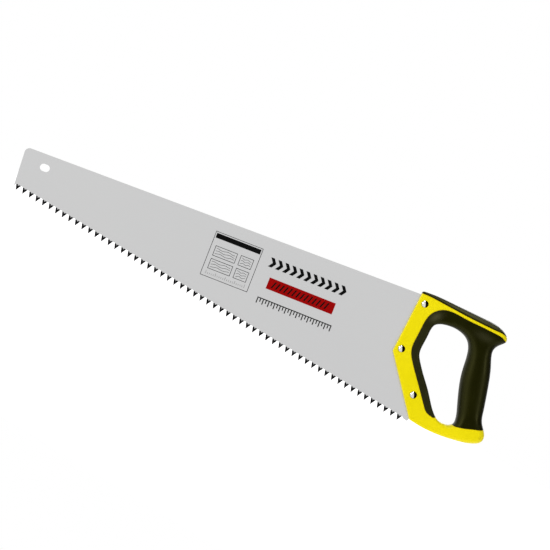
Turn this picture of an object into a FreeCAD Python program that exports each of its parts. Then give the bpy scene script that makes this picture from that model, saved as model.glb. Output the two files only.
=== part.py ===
import FreeCAD
import Part
import Sketcher

import math
import os

# Panel hand saw with a two-component closed handle, modelled as its separate pieces.
#
# Frame, in millimetres: X runs along the tooth line from the toe towards the handle, Z is up from the
# tooth points towards the back of the blade, and Y is across the blade. The origin is the point of the
# tooth nearest the handle, on the blade's mid-plane. -Y is the face that carries the domed sleeve
# nuts, +Y is the face the screws go in from. The handle's front faces the toe, towards -X.
#
# Pieces: blade, handle_core, grip_overmould, top_overmould, three sleeve nuts and three screws.

V = FreeCAD.Vector
doc = FreeCAD.newDocument("hand_saw")

# ---------------------------------------------------------------- driving dimensions
# alias, value in mm or degrees, note
DIMS = [
    ("tooth_pitch", 7.67, "distance between neighbouring tooth points"),
    ("tooth_count", 59, "teeth on the blade"),
    ("tooth_height", 6.2, "tooth point to gullet floor"),
    ("tooth_base", 5.45, "tooth width at the gullet floor"),
    ("tooth_bevel", 2.1, "width of the ground bevel, along the tooth line"),
    ("tooth_set", 0.25, "sideways lean of a tooth point, left and right in turn"),
    ("blade_thick", 1.0, "blade plate thickness"),
    ("toe_fillet", 5.0, "round of the blade's toe corner"),
    ("hang_width", 7.4, "hang hole, width of the slot"),
    ("hang_length", 10.1, "hang hole, end to end"),
    ("blade_hole_dia", 5.4, "bolt holes in the blade"),
    ("tang_depth", 14.5, "how far the blade runs into the handle"),
    ("slot_gap", 0.06, "clearance on each side of the blade in its slot"),
    ("plate_thick", 17.0, "handle thickness at the front plate and arms"),
    ("grip_thick", 28.0, "handle thickness across the palm swell"),
    ("grip_wide", 29.6, "grip, front to back"),
    ("grip_lean", 20.6, "lean of the grip from square to the tooth line, degrees"),
    ("edge_round", 3.0, "round of the outer edges at the grip, horn and arms"),
    ("hand_round", 4.0, "round of the hand opening's edges"),
    ("front_round", 1.2, "round of the straight front edges"),
    ("skin", 3.2, "thickness of the soft overmould over the core"),
    ("nut_head_dia", 6.8, "domed sleeve nut head"),
    ("nut_head_rise", 1.8, "height of the dome over its seat"),
    ("nut_neck_flats", 5.3, "hexagon neck under the nut's head, across flats"),
    ("nut_neck_long", 2.5, "length of the hexagon neck"),
    ("nut_barrel_dia", 5.0, "sleeve nut barrel"),
    ("nut_length", 12.0, "sleeve nut under its head"),
    ("nut_bore_dia", 3.3, "thread core bore of the nut"),
    ("seat_depth", 1.0, "counterbore under each head"),
    ("seat_dia", 7.2, "counterbore diameter"),
    ("bolt_hole_dia", 5.2, "bolt bore through the core"),
    ("screw_dia", 3.1, "screw shank, to the thread's core"),
    ("screw_length", 10.5, "screw shank under its head"),
    ("screw_head_dia", 6.8, "screw head"),
    ("screw_head_high", 1.7, "screw head height"),
    ("recess_wide", 1.0, "cross recess, width of one arm"),
    ("recess_long", 3.8, "cross recess, across two arms"),
    ("recess_deep", 1.3, "cross recess depth"),
    ("upper_bolt_x", -35.7, "upper bolt, X"),
    ("upper_bolt_z", 114.0, "upper bolt, Z"),
    ("middle_bolt_x", -32.7, "middle bolt, X"),
    ("middle_bolt_z", 63.8, "middle bolt, Z"),
    ("lower_bolt_x", 1.2, "lower bolt, X"),
    ("lower_bolt_z", 30.4, "lower bolt, Z"),
]
BOLTS = ("upper", "middle", "lower")

sheet = doc.addObject("Spreadsheet::Sheet", "dimensions")
for row, (alias, value, note) in enumerate(DIMS, start=1):
    sheet.set(f"A{row}", alias)
    sheet.set(f"B{row}", str(value))
    sheet.set(f"C{row}", note)
    sheet.setAlias(f"B{row}", alias)
doc.recompute()


def dim(alias):
    return float(getattr(sheet, alias))


# ---------------------------------------------------------------- handle outlines, (x, z) stations
FRONT_TOP = (-43.7, 124.1)
FRONT_KNEE = (-39.2, 57.6)
HEEL_FRONT = (10.3, 7.3)
FRONT_CORNER_RADII = [1.5, 3.0, 2.5]  # at the three corners above

# from the heel round the rear of the grip, the horn and the top, to the upper front corner
REAR = [
    (12.9, 7.1), (24.3, 7.0), (36.0, 8.0), (48.1, 10.0), (60.9, 13.2), (71.6, 16.7),
    (78.5, 20.3), (83.0, 24.3), (83.9, 27.6), (82.6, 32.5), (78.8, 37.2), (74.2, 42.5),
    (70.4, 51.5), (63.8, 69.8), (58.4, 83.7), (53.0, 95.2), (48.1, 104.5), (46.8, 109.6),
    (47.9, 114.5), (51.6, 120.0), (53.4, 123.5), (52.3, 126.8), (48.7, 130.0), (43.0, 132.1),
    (34.9, 133.0), (23.4, 132.4), (3.8, 130.4), (-14.9, 128.7), (-29.2, 127.1), (-40.8, 124.9),
]
# round the hand opening, closed
OPENING = [
    (3.2, 108.8), (-5.3, 107.3), (-13.0, 104.1), (-16.4, 100.8), (-17.4, 96.1), (-16.9, 89.0),
    (-16.4, 80.5), (-15.9, 73.7), (-14.3, 68.0), (-10.2, 62.6), (-1.3, 53.6), (11.2, 42.1),
    (21.9, 30.9), (29.6, 24.2), (35.5, 21.3), (41.5, 21.2), (47.9, 23.3), (50.4, 26.3),
    (50.2, 30.6), (45.2, 42.4), (37.2, 58.9), (32.4, 71.0), (29.0, 83.8), (26.0, 94.7),
    (22.4, 101.6), (17.8, 105.8), (11.3, 108.2),
]
# border between the hard core and the soft grip: from the horn under the top arm, down the liner
# in front of the hand opening
GRIP_FRONT = [
    (51.8, 123.4), (49.1, 124.5), (40.1, 124.8), (25.1, 123.7), (7.2, 122.1), (-10.7, 120.7),
    (-16.5, 118.6), (-21.4, 114.8), (-25.1, 109.2), (-26.9, 100.4), (-26.5, 92.0), (-25.8, 81.0),
    (-24.9, 72.0), (-22.6, 65.7), (-17.8, 59.4), (-2.9, 44.7), (10.0, 32.1), (17.0, 25.3),
    (21.2, 22.2), (25.5, 21.2), (30.0, 21.0),
]
# the same border below the grip
GRIP_REAR = [
    (48.2, 25.7), (51.2, 24.8), (55.5, 25.7), (61.1, 27.7), (72.0, 32.7), (77.4, 35.1),
    (80.4, 37.5),
]
# lower border of the soft strip on top
TOP_BORDER = [
    (-46.4, 121.0), (-43.5, 121.7), (-40.4, 122.4), (-37.4, 122.85), (-32.0, 123.3),
    (-13.4, 124.2), (4.8, 125.0), (22.9, 126.3), (41.0, 128.1), (47.0, 128.5), (50.0, 128.0),
]


# ---------------------------------------------------------------- plane geometry
# A point in a sketch is an (x, z) pair or a vector whose second number is the height.
def curve(points, closed=False):
    made = Part.BSplineCurve()
    made.interpolate([V(p[0], p[1], 0) for p in points], closed)
    return made


def corner_arc(corner, dir_in, dir_out, radius):
    """Start, middle and end of the arc that rounds a corner between two unit directions."""
    turn = dir_in.getAngle(dir_out)
    reach = radius * math.tan(turn / 2)
    inward = (dir_out - dir_in).normalize()
    middle = corner + inward * (radius / math.cos(turn / 2) - radius)
    return corner - dir_in * reach, middle, corner + dir_out * reach


def rounded(points, radii):
    """Straight runs through points, with an arc of the given radius at each inner corner."""
    corners = [V(p[0], p[1], 0) for p in points]
    made, last = [], corners[0]
    for before, corner, after, radius in zip(corners, corners[1:], corners[2:], radii):
        if radius:
            dir_in, dir_out = (corner - before).normalize(), (after - corner).normalize()
            start, middle, end = corner_arc(corner, dir_in, dir_out, radius)
            made += [Part.LineSegment(last, start), Part.Arc(start, middle, end)]
            last = end
        else:
            made.append(Part.LineSegment(last, corner))
            last = corner
    made.append(Part.LineSegment(last, corners[-1]))
    return made


def lines(points):
    return rounded(points, [0] * (len(points) - 2))


def meeting(point, along, other_point, other_along):
    """Where two lines cross, each given by a point and a direction."""
    gap = other_point - point
    cross = along.x * other_along.y - along.y * other_along.x
    return point + along * ((gap.x * other_along.y - gap.y * other_along.x) / cross)


def left_of(along):
    return V(-along.y, along.x, 0)


def front_moved_in(depth, low_z=0.0):
    """The handle's two front edges moved inwards: their points at TANG_TOP_Z, the knee, low_z."""
    top, knee, heel = (V(x, z, 0) for x, z in (FRONT_TOP, FRONT_KNEE, HEEL_FRONT))
    upper_dir, lower_dir = (knee - top).normalize(), (heel - knee).normalize()
    upper = top + left_of(upper_dir) * depth
    lower = heel + left_of(lower_dir) * depth
    level = V(1, 0, 0)
    return (
        meeting(upper, upper_dir, V(0, TANG_TOP_Z, 0), level),
        meeting(upper, upper_dir, lower, lower_dir),
        meeting(lower, lower_dir, V(0, low_z, 0), level),
    )


# ---------------------------------------------------------------- document helpers
def origin_feature(body, role):
    return next(f for f in body.Origin.OriginFeatures if f.Role == role)


def sketch_on(body, name, *loops, role="XZ_Plane"):
    """A sketch on a plane of the body; on the XZ plane, sketch x is X and sketch y is Z."""
    sketch = body.newObject("Sketcher::SketchObject", name)
    sketch.AttachmentSupport = [(origin_feature(body, role), "")]
    sketch.MapMode = "FlatFace"
    for loop in loops:
        for geometry in loop:
            sketch.addGeometry(geometry, False)
    return sketch


def pad_both_ways(body, name, sketch, length):
    pad = body.newObject("PartDesign::Pad", name)
    pad.Profile = sketch
    pad.Midplane = True
    pad.setExpression("Length", length)
    doc.recompute()


def pocket_through(body, name, sketch):
    pocket = body.newObject("PartDesign::Pocket", name)
    pocket.Profile = sketch
    pocket.Type = 1  # through all
    pocket.Midplane = True
    doc.recompute()


def prism(name, length, *loops, role="XZ_Plane"):
    """A body with one sketch, padded to both sides of its plane."""
    body = doc.addObject("PartDesign::Body", name)
    pad_both_ways(body, name + "_pad", sketch_on(body, name + "_sketch", *loops, role=role), length)
    return body


def boolean(kind, name, base, tool):
    made = doc.addObject("Part::" + kind, name)
    made.Base, made.Tool = base, tool
    doc.recompute()
    return made


def fuse(name, shapes, refine=None):
    made = doc.addObject("Part::MultiFuse", name)
    made.Shapes = shapes
    if refine is not None:
        made.Refine = refine
    doc.recompute()
    return made


def on_bolt_axis(which, y, turn):
    """A placement on one bolt's axis: turn -90 points local Z to +Y, turn 90 to -Y."""
    place = V(dim(which + "_bolt_x"), y, dim(which + "_bolt_z"))
    return FreeCAD.Placement(place, FreeCAD.Rotation(V(1, 0, 0), turn))


# ---------------------------------------------------------------- blade
# The back rises 10.6 degrees from the toe; the toe leans 13 degrees; the heel ends in a short land.
GULLET_Z = dim("tooth_height")
BACK_SLOPE = 0.1879  # rise per mm of X
BACK_START = V(-454.4, 43.4, 0)
BACK_DIR = V(1, BACK_SLOPE, 0).normalize()
TOE_START = V(-449.3, 5.16, 0)
TOE_DIR = V(-0.233, 1, 0).normalize()  # upwards
BACK_END_X = -41.4  # where the back gives way to the tang's top edge
TANG_TOP_Z = 115.7
TANG_LOW_Z = 13.5
HANG_CENTRE = V(-431.2, 34.1, 0)


def back_height(x):
    return BACK_START.y + BACK_SLOPE * (x - BACK_START.x)


def blade_outline():
    toe_corner = meeting(BACK_START, BACK_DIR, TOE_START, TOE_DIR)
    toe_arc = corner_arc(toe_corner, TOE_DIR, BACK_DIR, dim("toe_fillet"))
    upper, knee, lower = front_moved_in(dim("tang_depth"), TANG_LOW_Z)
    return lines([
        toe_arc[2],
        (BACK_END_X, back_height(BACK_END_X)),
        (upper.x, back_height(BACK_END_X) - 0.5),
        knee,
        lower,
        (9.9, 8.1), (9.7, 4.7), (5.2, 4.8), (3.4, GULLET_Z),  # heel and its land
        (-447.6, GULLET_Z), (-448.7, 3.0),  # foot of the toe
        toe_arc[0],
    ]) + [Part.Arc(*toe_arc)]


def cut_bolt_holes(plate):
    """Three holes, each circle's place and size bound to the sheet."""
    sketch = sketch_on(plate, "bolt_hole_sketch")

    def constrain(alias, kind, *refs):
        index = sketch.addConstraint(Sketcher.Constraint(kind, *refs, dim(alias)))
        sketch.setExpression(f"Constraints[{index}]", "dimensions." + alias)

    for i, which in enumerate(BOLTS):
        centre = V(dim(which + "_bolt_x"), dim(which + "_bolt_z"), 0)
        sketch.addGeometry(Part.Circle(centre, V(0, 0, 1), dim("blade_hole_dia") / 2), False)
        constrain("blade_hole_dia", "Diameter", i)
        constrain(which + "_bolt_x", "DistanceX", -1, 1, i, 3)
        constrain(which + "_bolt_z", "DistanceY", -1, 1, i, 3)
    pocket_through(plate, "bolt_holes", sketch)


def cut_hang_hole(plate):
    """Oval hole near the toe, lying along the back."""
    radius = dim("hang_width") / 2
    half_run = BACK_DIR * ((dim("hang_length") - dim("hang_width")) / 2)
    low, high = HANG_CENTRE - half_run, HANG_CENTRE + half_run
    along, side = BACK_DIR * radius, left_of(BACK_DIR) * radius
    loop = [
        Part.LineSegment(low + side, high + side),
        Part.Arc(high + side, high + along, high - side),
        Part.LineSegment(high - side, low - side),
        Part.Arc(low - side, low - along, low + side),
    ]
    pocket_through(plate, "hang_hole", sketch_on(plate, "hang_hole_sketch", loop))


def tooth_solid(tooth_x, lean):
    """One tooth: a double-bevelled point whose faces lean sideways by lean at the point."""
    half, half_thick = dim("tooth_base") / 2, dim("blade_thick") / 2
    inner = half - dim("tooth_bevel")
    flat_tip_z = GULLET_Z - inner * GULLET_Z / half

    def point(x, y, z):
        return V(tooth_x + x, y + lean * (GULLET_Z - z) / GULLET_Z, z)

    toe_root, heel_root, tip = point(-half, 0, GULLET_Z), point(half, 0, GULLET_Z), point(0, 0, 0)
    faces, flat_roots = [], []
    for y in (-half_thick, half_thick):
        # the flat triangle on this side, between the two bevels
        flat_toe, flat_heel = point(-inner, y, GULLET_Z), point(inner, y, GULLET_Z)
        flat_tip = point(0, y, flat_tip_z)
        flat_roots.append((flat_toe, flat_heel))
        faces += [
            [toe_root, tip, flat_tip, flat_toe],
            [heel_root, tip, flat_tip, flat_heel],
            [flat_toe, flat_heel, flat_tip],
        ]
    (toe_1, heel_1), (toe_2, heel_2) = flat_roots
    faces.append([toe_root, toe_1, heel_1, heel_root, heel_2, toe_2])
    shell = Part.makeShell([Part.Face(Part.makePolygon(face + [face[0]])) for face in faces])
    solid = Part.makeSolid(shell)
    if solid.Volume < 0:
        solid.reverse()
    return solid


def build_blade():
    plate = doc.addObject("PartDesign::Body", "blade_plate")
    outline = sketch_on(plate, "blade_outline", blade_outline())
    pad_both_ways(plate, "blade_pad", outline, "dimensions.blade_thick")
    cut_bolt_holes(plate)
    cut_hang_hole(plate)

    count, pitch = int(dim("tooth_count")), dim("tooth_pitch")
    first_x = -(count - 1) * pitch
    teeth = doc.addObject("Part::Feature", "teeth")
    teeth.Shape = Part.makeCompound([
        tooth_solid(first_x + i * pitch, dim("tooth_set") * (1 if i % 2 else -1))
        for i in range(count)
    ])
    return fuse("blade_whole", [plate, teeth], refine=True)


# ---------------------------------------------------------------- handle: outer form and skeleton
HALF_PLATE, HALF_GRIP = dim("plate_thick") / 2, dim("grip_thick") / 2
# (distance along the direction square to the grip's lean, half thickness)
THICKNESS = [
    (24.5, HALF_PLATE), (34.5, HALF_PLATE + 0.35), (44.5, HALF_PLATE + 1.7),
    (54.5, HALF_GRIP - 1.6), (63.5, HALF_GRIP - 0.2), (71.5, HALF_GRIP),
    (80.5, HALF_GRIP - 0.4), (92.5, HALF_GRIP - 1.4), (110.5, HALF_GRIP - 3.2),
]
THICKNESS_FRONT = -90.0  # the thickness form's front end, ahead of the handle
# holds the middle of every edge of the hand opening, seen from the side
OPENING_BOX = FreeCAD.BoundBox(-18.0, -1, 20.5, 51.0, 1, 109.1)


def thickness_form(name, inset):
    """A long solid that carries only the thickness: flat at the front, swelling into the grip."""
    side = [(run, half - inset) for run, half in THICKNESS]
    (near, near_y), (far, far_y) = side[0], side[-1]
    front = THICKNESS_FRONT
    loop = (
        lines([(front, near_y), (near, near_y)])
        + [curve(side)]
        + lines([(far, far_y), (far, -far_y)])
        + [curve([(run, -half) for run, half in side])]
        + lines([(near, -near_y), (front, -near_y), (front, near_y)])
    )
    body = prism(name, "dimensions.grip_thick * 20", loop, role="XY_Plane")
    rotation = FreeCAD.Rotation(V(0, 1, 0), -dim("grip_lean"))
    body.Placement = FreeCAD.Placement(V(0, 0, 0), rotation)
    doc.recompute()
    return body


def edge_rounds(shape):
    """(edge number, start radius, end radius): small on the straight front, full on the grip."""
    small, grip, hand = dim("front_round"), dim("edge_round"), dim("hand_round")
    lean = math.radians(dim("grip_lean"))
    lean_dir = V(-math.sin(lean), 0, math.cos(lean))
    rounds = []
    for number, edge in enumerate(shape.Edges, start=1):
        middle = edge.valueAt((edge.FirstParameter + edge.LastParameter) / 2)
        ends = [vertex.Point for vertex in edge.Vertexes]

        def touches(station):
            return any(abs(p.x - station[0]) < 0.2 and abs(p.z - station[1]) < 0.2 for p in ends)

        if abs(middle.y) < 1.0:
            continue  # runs across the handle
        straight = isinstance(edge.Curve, Part.Line)
        if straight and len(ends) == 2:
            if abs((ends[1] - ends[0]).normalize().dot(lean_dir)) > 0.9999:
                continue  # where the flat side meets the swell
        if straight or isinstance(edge.Curve, Part.Circle):
            radii = (small, small)
        elif touches(REAR[-1]):
            radii = (grip, small)
        elif touches(REAR[0]):
            radii = (small, grip)
        elif OPENING_BOX.isInside(V(middle.x, 0, middle.z)):
            radii = (hand, hand)
        else:
            radii = (grip, grip)
        rounds.append((number, *radii))
    return rounds


def build_form():
    """The whole handle's outer form, before it is split by material."""
    front = rounded([REAR[-1], FRONT_TOP, FRONT_KNEE, HEEL_FRONT, REAR[0]], FRONT_CORNER_RADII)
    outline = prism(
        "handle_outline", "dimensions.grip_thick + 4",
        front + [curve(REAR)], [curve(OPENING, True)],
    )
    thickness = thickness_form("handle_thickness", 0.0)
    square_edged = boolean("Common", "handle_square_edged", outline, thickness)
    form = doc.addObject("Part::Fillet", "handle_form")
    form.Base = square_edged
    form.Edges = edge_rounds(square_edged.Shape)
    doc.recompute()
    return form


def drawn_in(points, distance, closed=False):
    """The stations moved square to their own curve, to its left as it runs."""
    path = curve(points, closed)
    moved = []
    for x, z in points:
        along = path.tangent(path.parameter(V(x, z, 0)))[0]
        moved.append((x - along.y * distance, z + along.x * distance))
    return moved


def build_skeleton():
    """The core's inner skeleton: outlines and thickness drawn in by the soft skin."""
    skin = dim("skin")
    rear = drawn_in(REAR, skin)
    opening = drawn_in(OPENING, -skin, closed=True)
    knee = front_moved_in(skin)[1]
    outline = prism(
        "skeleton_prism", "dimensions.grip_thick + 4",
        lines([rear[-1], knee, rear[0]]) + [curve(rear)], [curve(opening, True)],
    )
    return boolean("Common", "skeleton", outline, thickness_form("skeleton_thickness", skin))


# ---------------------------------------------------------------- handle: split by material
def build_regions():
    """Where the soft grip and the soft top strip lie, seen from the side."""
    grip = prism(
        "grip_region", "dimensions.grip_thick + 6",
        [curve(GRIP_FRONT)]
        + lines([GRIP_FRONT[-1], (38.0, 29.5), GRIP_REAR[0]])
        + [curve(GRIP_REAR)]
        + lines([GRIP_REAR[-1], (96.0, 47.5), (96.0, 105.5), (58.0, 121.1), GRIP_FRONT[0]]),
    )
    top = prism(
        "top_region", "dimensions.grip_thick + 6",
        [curve(TOP_BORDER)]
        + lines([
            TOP_BORDER[-1], (53.4, 127.5), (62.0, 125.5), (62.0, 151.5), (-46.4, 151.5),
            TOP_BORDER[0],
        ]),
    )
    return grip, top


def split_handle():
    """The grip overmould, the top overmould and the core without its slot and bores."""
    form = build_form()
    skeleton = build_skeleton()
    grip_region, top_region = build_regions()
    grip_skin = boolean("Cut", "grip_skin", grip_region, skeleton)
    top_skin = boolean("Cut", "top_skin", top_region, skeleton)
    grip = boolean("Common", "grip_overmould_solid", form, grip_skin)
    top = boolean("Common", "top_overmould_solid", form, top_skin)
    core_without_grip = boolean("Cut", "core_without_grip", form, grip_skin)
    return grip, top, boolean("Cut", "core_blank", core_without_grip, top_skin)


# ---------------------------------------------------------------- handle core: tang slot and bores
SEAT_Y = HALF_PLATE - dim("seat_depth")  # floor of the counterbores, at +Y and -Y
SLOT_END_ROOM = 0.4  # beyond the tang's hidden end
SLOT_LOW_Z = 13.2
SLOT_FRONT_X = -60.0  # ahead of the handle
SLOT_BOTTOM_Z = 3.5  # below the handle


def tang_slot():
    """The blade's outline inside the handle, with a little room at its hidden end."""
    upper, knee, lower = front_moved_in(dim("tang_depth") + SLOT_END_ROOM, SLOT_LOW_Z)
    front_top = (SLOT_FRONT_X, back_height(SLOT_FRONT_X) + 0.3)
    loop = lines([
        front_top,
        (BACK_END_X, back_height(BACK_END_X) + 0.3),
        (upper.x, back_height(BACK_END_X) - 0.2),
        knee,
        lower,
        (10.9, 7.7),
        (10.2, SLOT_BOTTOM_Z),
        (SLOT_FRONT_X, SLOT_BOTTOM_Z),
        front_top,
    ])
    return prism("tang_slot", "dimensions.blade_thick + 2 * dimensions.slot_gap", loop)


def cylinder(which, part, diameter, y_from, length):
    """A cylinder on one bolt's axis, from y_from towards +Y."""
    made = doc.addObject("Part::Cylinder", f"{which}_{part}")
    made.setExpression("Radius", f"dimensions.{diameter} / 2")
    made.setExpression("Height", length)
    made.Placement = on_bolt_axis(which, y_from, -90)
    return made


def hex_pocket(which):
    """The hexagon that keys the nut's neck, with a little clearance."""
    made = doc.addObject("Part::Prism", which + "_hex_pocket")
    made.Polygon = 6
    made.setExpression("Circumradius", "(dimensions.nut_neck_flats + 0.12) / 2 / cos(30)")
    made.setExpression("Height", "dimensions.nut_neck_long + 1.1")
    made.Placement = on_bolt_axis(which, -SEAT_Y - 1.0, -90)
    return made


def build_core(blank):
    cutters = [tang_slot()]
    for which in BOLTS:
        cutters += [
            cylinder(which, "bore", "bolt_hole_dia", -SEAT_Y - 0.5, "dimensions.plate_thick - 1"),
            cylinder(which, "nut_seat", "seat_dia", -SEAT_Y - 4.0, "4"),
            cylinder(which, "screw_seat", "seat_dia", SEAT_Y, "4"),
            hex_pocket(which),
        ]
    return boolean("Cut", "handle_core_solid", blank, fuse("core_cutters", cutters))


# ---------------------------------------------------------------- sleeve nuts and screws
# Each is drawn along its own Z axis, with the underside of its head at zero and the head above.
def revolved_body(name, loop):
    """A body with a closed (radius, height) loop turned about its own Z axis."""
    body = doc.addObject("PartDesign::Body", name + "_body")
    turned_profile = sketch_on(body, name + "_profile", loop)
    turned = body.newObject("PartDesign::Revolution", name + "_turned")
    turned.Profile = turned_profile
    turned.ReferenceAxis = (origin_feature(body, "Z_Axis"), [""])
    turned.Angle = 360.0
    doc.recompute()
    return body


def extrude(body, kind, name, loop, length, start=0.0, reverse=True):
    """A Pad or Pocket from the height start; unreversed, a pad goes up and a pocket down."""
    sketch = sketch_on(body, name + "_sketch", loop, role="XY_Plane")
    sketch.AttachmentOffset = FreeCAD.Placement(V(0, 0, start), FreeCAD.Rotation())
    feature = body.newObject("PartDesign::" + kind, name)
    feature.Profile = sketch
    feature.Reversed = reverse
    feature.setExpression("Length", length)
    doc.recompute()


def sleeve_nut(which):
    """Domed head, hexagon neck that keys into the core, plain barrel with a blind thread bore."""
    name = which + "_sleeve_nut"
    head, barrel = dim("nut_head_dia") / 2, dim("nut_barrel_dia") / 2
    rise, length = dim("nut_head_rise"), dim("nut_length")
    rim, chamfer = 0.5, 0.3
    dome = Part.Arc(V(0, rise, 0), V(head * 0.62, rise - 0.42, 0), V(head, rim, 0))
    body = revolved_body(name, [dome] + lines([
        (head, rim), (head, 0), (barrel, 0), (barrel, chamfer - length),
        (barrel - chamfer, -length), (0, -length), (0, rise),
    ]))
    corner = dim("nut_neck_flats") / math.cos(math.radians(30)) / 2
    hexagon = [
        (corner * math.cos(math.radians(turn)), corner * math.sin(math.radians(turn)))
        for turn in range(0, 361, 60)
    ]
    extrude(body, "Pad", name + "_neck", lines(hexagon), "dimensions.nut_neck_long")
    bore = [Part.Circle(V(0, 0, 0), V(0, 0, 1), dim("nut_bore_dia") / 2)]
    extrude(body, "Pocket", name + "_bore", bore, "dimensions.nut_length - 1.2", start=-length)
    body.Placement = on_bolt_axis(which, -SEAT_Y, 90)
    doc.recompute()
    return body


def screw(which):
    """Pan head with a cross recess, on a shank drawn at the thread's core diameter."""
    name = which + "_screw"
    head, shank = dim("screw_head_dia") / 2, dim("screw_dia") / 2
    high, length = dim("screw_head_high"), dim("screw_length")
    flat, rim, chamfer = head * 0.55, 0.55, 0.6
    shoulder = Part.Arc(V(flat, high, 0), V(head * 0.88, high - 0.33, 0), V(head, rim, 0))
    body = revolved_body(name, lines([(0, high), (flat, high)]) + [shoulder] + lines([
        (head, rim), (head, 0), (shank, 0), (shank, chamfer - length),
        (shank - chamfer, -length), (0, -length), (0, high),
    ]))
    wide, long = dim("recess_wide") / 2, dim("recess_long") / 2
    cross = lines([
        (long, wide), (wide, wide), (wide, long), (-wide, long), (-wide, wide), (-long, wide),
        (-long, -wide), (-wide, -wide), (-wide, -long), (wide, -long), (wide, -wide),
        (long, -wide), (long, wide),
    ])
    extrude(
        body, "Pocket", name + "_recess", cross, "dimensions.recess_deep",
        start=high, reverse=False,
    )
    body.Placement = on_bolt_axis(which, SEAT_Y, -90)
    doc.recompute()
    return body


# ---------------------------------------------------------------- build, check and write
blade = build_blade()
grip_overmould, top_overmould, core_blank = split_handle()
pieces = {
    "blade": blade,
    "handle_core": build_core(core_blank),
    "grip_overmould": grip_overmould,
    "top_overmould": top_overmould,
}
for which in BOLTS:
    pieces[which + "_sleeve_nut"] = sleeve_nut(which)
    pieces[which + "_screw"] = screw(which)
for label, piece in pieces.items():
    piece.Label = label

doc.recompute()
for obj in doc.Objects:
    if "Invalid" in obj.State or "Error" in obj.State:
        raise RuntimeError(f"{obj.Name} failed: {obj.State}")
for label, piece in pieces.items():
    shape = piece.Shape
    if shape.isNull() or not shape.isValid():
        raise RuntimeError(f"{label} has no valid shape")
    if len(shape.Solids) != 1:
        raise RuntimeError(f"{label} holds {len(shape.Solids)} solids, not one")
    if piece.Label != label:
        raise RuntimeError(f"{piece.Name} is labelled {piece.Label}, not {label}")

os.makedirs("parts", exist_ok=True)
for label, piece in pieces.items():
    piece.Shape.exportStep(os.path.join("parts", label + ".step"))
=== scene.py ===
"""A hand saw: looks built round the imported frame.

The frame is in metres: X runs along the tooth line from toe to handle, Y across the blade, Z from
the tooth points up. The camera looks at the -Y face. On the handle, front means -X and rear +X.
Shapes are written in millimetres, with z counted from a level RISE above the tooth points.
Points in the plane of the blade are (x, z).
"""
import math

import bmesh
import bpy
import numpy as np
from mathutils import Matrix, Vector
from mathutils.geometry import delaunay_2d_cdt


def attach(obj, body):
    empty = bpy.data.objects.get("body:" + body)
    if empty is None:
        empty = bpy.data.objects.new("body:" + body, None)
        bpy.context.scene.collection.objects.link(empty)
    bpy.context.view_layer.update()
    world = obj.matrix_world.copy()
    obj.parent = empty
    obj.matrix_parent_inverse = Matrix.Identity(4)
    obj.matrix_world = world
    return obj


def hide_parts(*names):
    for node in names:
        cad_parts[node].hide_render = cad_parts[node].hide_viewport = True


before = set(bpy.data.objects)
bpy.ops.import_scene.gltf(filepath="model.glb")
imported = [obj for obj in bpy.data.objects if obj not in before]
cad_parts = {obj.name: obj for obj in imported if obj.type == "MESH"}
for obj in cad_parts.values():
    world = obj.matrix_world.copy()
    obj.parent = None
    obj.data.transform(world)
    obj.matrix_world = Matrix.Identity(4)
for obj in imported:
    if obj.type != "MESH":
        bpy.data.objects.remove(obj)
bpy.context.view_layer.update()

MM = 0.001
RISE = 1.5
scene = bpy.context.scene

# The picture's axes in the frame, shared by the camera, the lights and the reflections
VIEW_RIGHT = Vector((0.8559, 0.0, 0.5171))
VIEW_UP = Vector((-0.5171, 0.0, 0.8559))

# ---- Outlines of the handle: (x, z) in mm ------------------------------------------------------

# Corners of the straight front edge
FRONT_TOP = (-43.7, 122.6)
FRONT_KNEE = (-39.2, 56.1)
HEEL_FRONT = (10.3, 5.8)
# Curved outline: along the bottom, up the rear and forward along the top
REAR = [
    (12.9, 5.6), (24.3, 5.5), (36.0, 6.5), (48.1, 8.5), (60.9, 11.7), (71.6, 15.2), (78.5, 18.8),
    (83.0, 22.8), (83.9, 26.1), (82.6, 31.0), (78.8, 35.7), (74.2, 41.0), (70.4, 50.0),
    (63.8, 68.3), (58.4, 82.2), (53.0, 93.7), (48.1, 103.0), (46.8, 108.1), (47.9, 113.0),
    (51.6, 118.5), (53.4, 122.0), (52.3, 125.3), (48.7, 128.5), (43.0, 130.6), (34.9, 131.5),
    (23.4, 130.9), (3.8, 128.9), (-14.9, 127.2), (-29.2, 125.6), (-40.8, 123.4),
]
# The hand opening, from its top round by the front
OPENING = [
    (3.2, 107.3), (-5.3, 105.8), (-13.0, 102.6), (-16.4, 99.3), (-17.4, 94.6), (-16.9, 87.5),
    (-16.4, 79.0), (-15.9, 72.2), (-14.3, 66.5), (-10.2, 61.1), (-1.3, 52.1), (11.2, 40.6),
    (21.9, 29.4), (29.6, 22.7), (35.5, 19.8), (41.5, 19.7), (47.9, 21.8), (50.4, 24.8),
    (50.2, 29.1), (45.2, 40.9), (37.2, 57.4), (32.4, 69.5), (29.0, 82.3), (26.0, 93.2),
    (22.4, 100.1), (17.8, 104.3), (11.3, 106.7),
]
# Soft grip's border: along its top, down in front of the opening
GRIP_FRONT = [
    (51.8, 121.9), (49.1, 123.0), (40.1, 123.3), (25.1, 122.2), (7.2, 120.6), (-10.7, 119.2),
    (-16.5, 117.1), (-21.4, 113.3), (-25.1, 107.7), (-26.9, 98.9), (-26.5, 90.5), (-25.8, 79.5),
    (-24.9, 70.5), (-22.6, 64.2), (-17.8, 57.9), (-2.9, 43.2), (10.0, 30.6), (17.0, 23.8),
    (21.2, 20.7), (25.5, 19.7), (30.0, 19.5),
]
# Soft grip's lower border, behind the opening
GRIP_REAR = [
    (48.2, 24.2), (51.2, 23.3), (55.5, 24.2), (61.1, 26.2), (72.0, 31.2), (77.4, 33.6),
    (80.4, 36.0),
]
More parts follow.
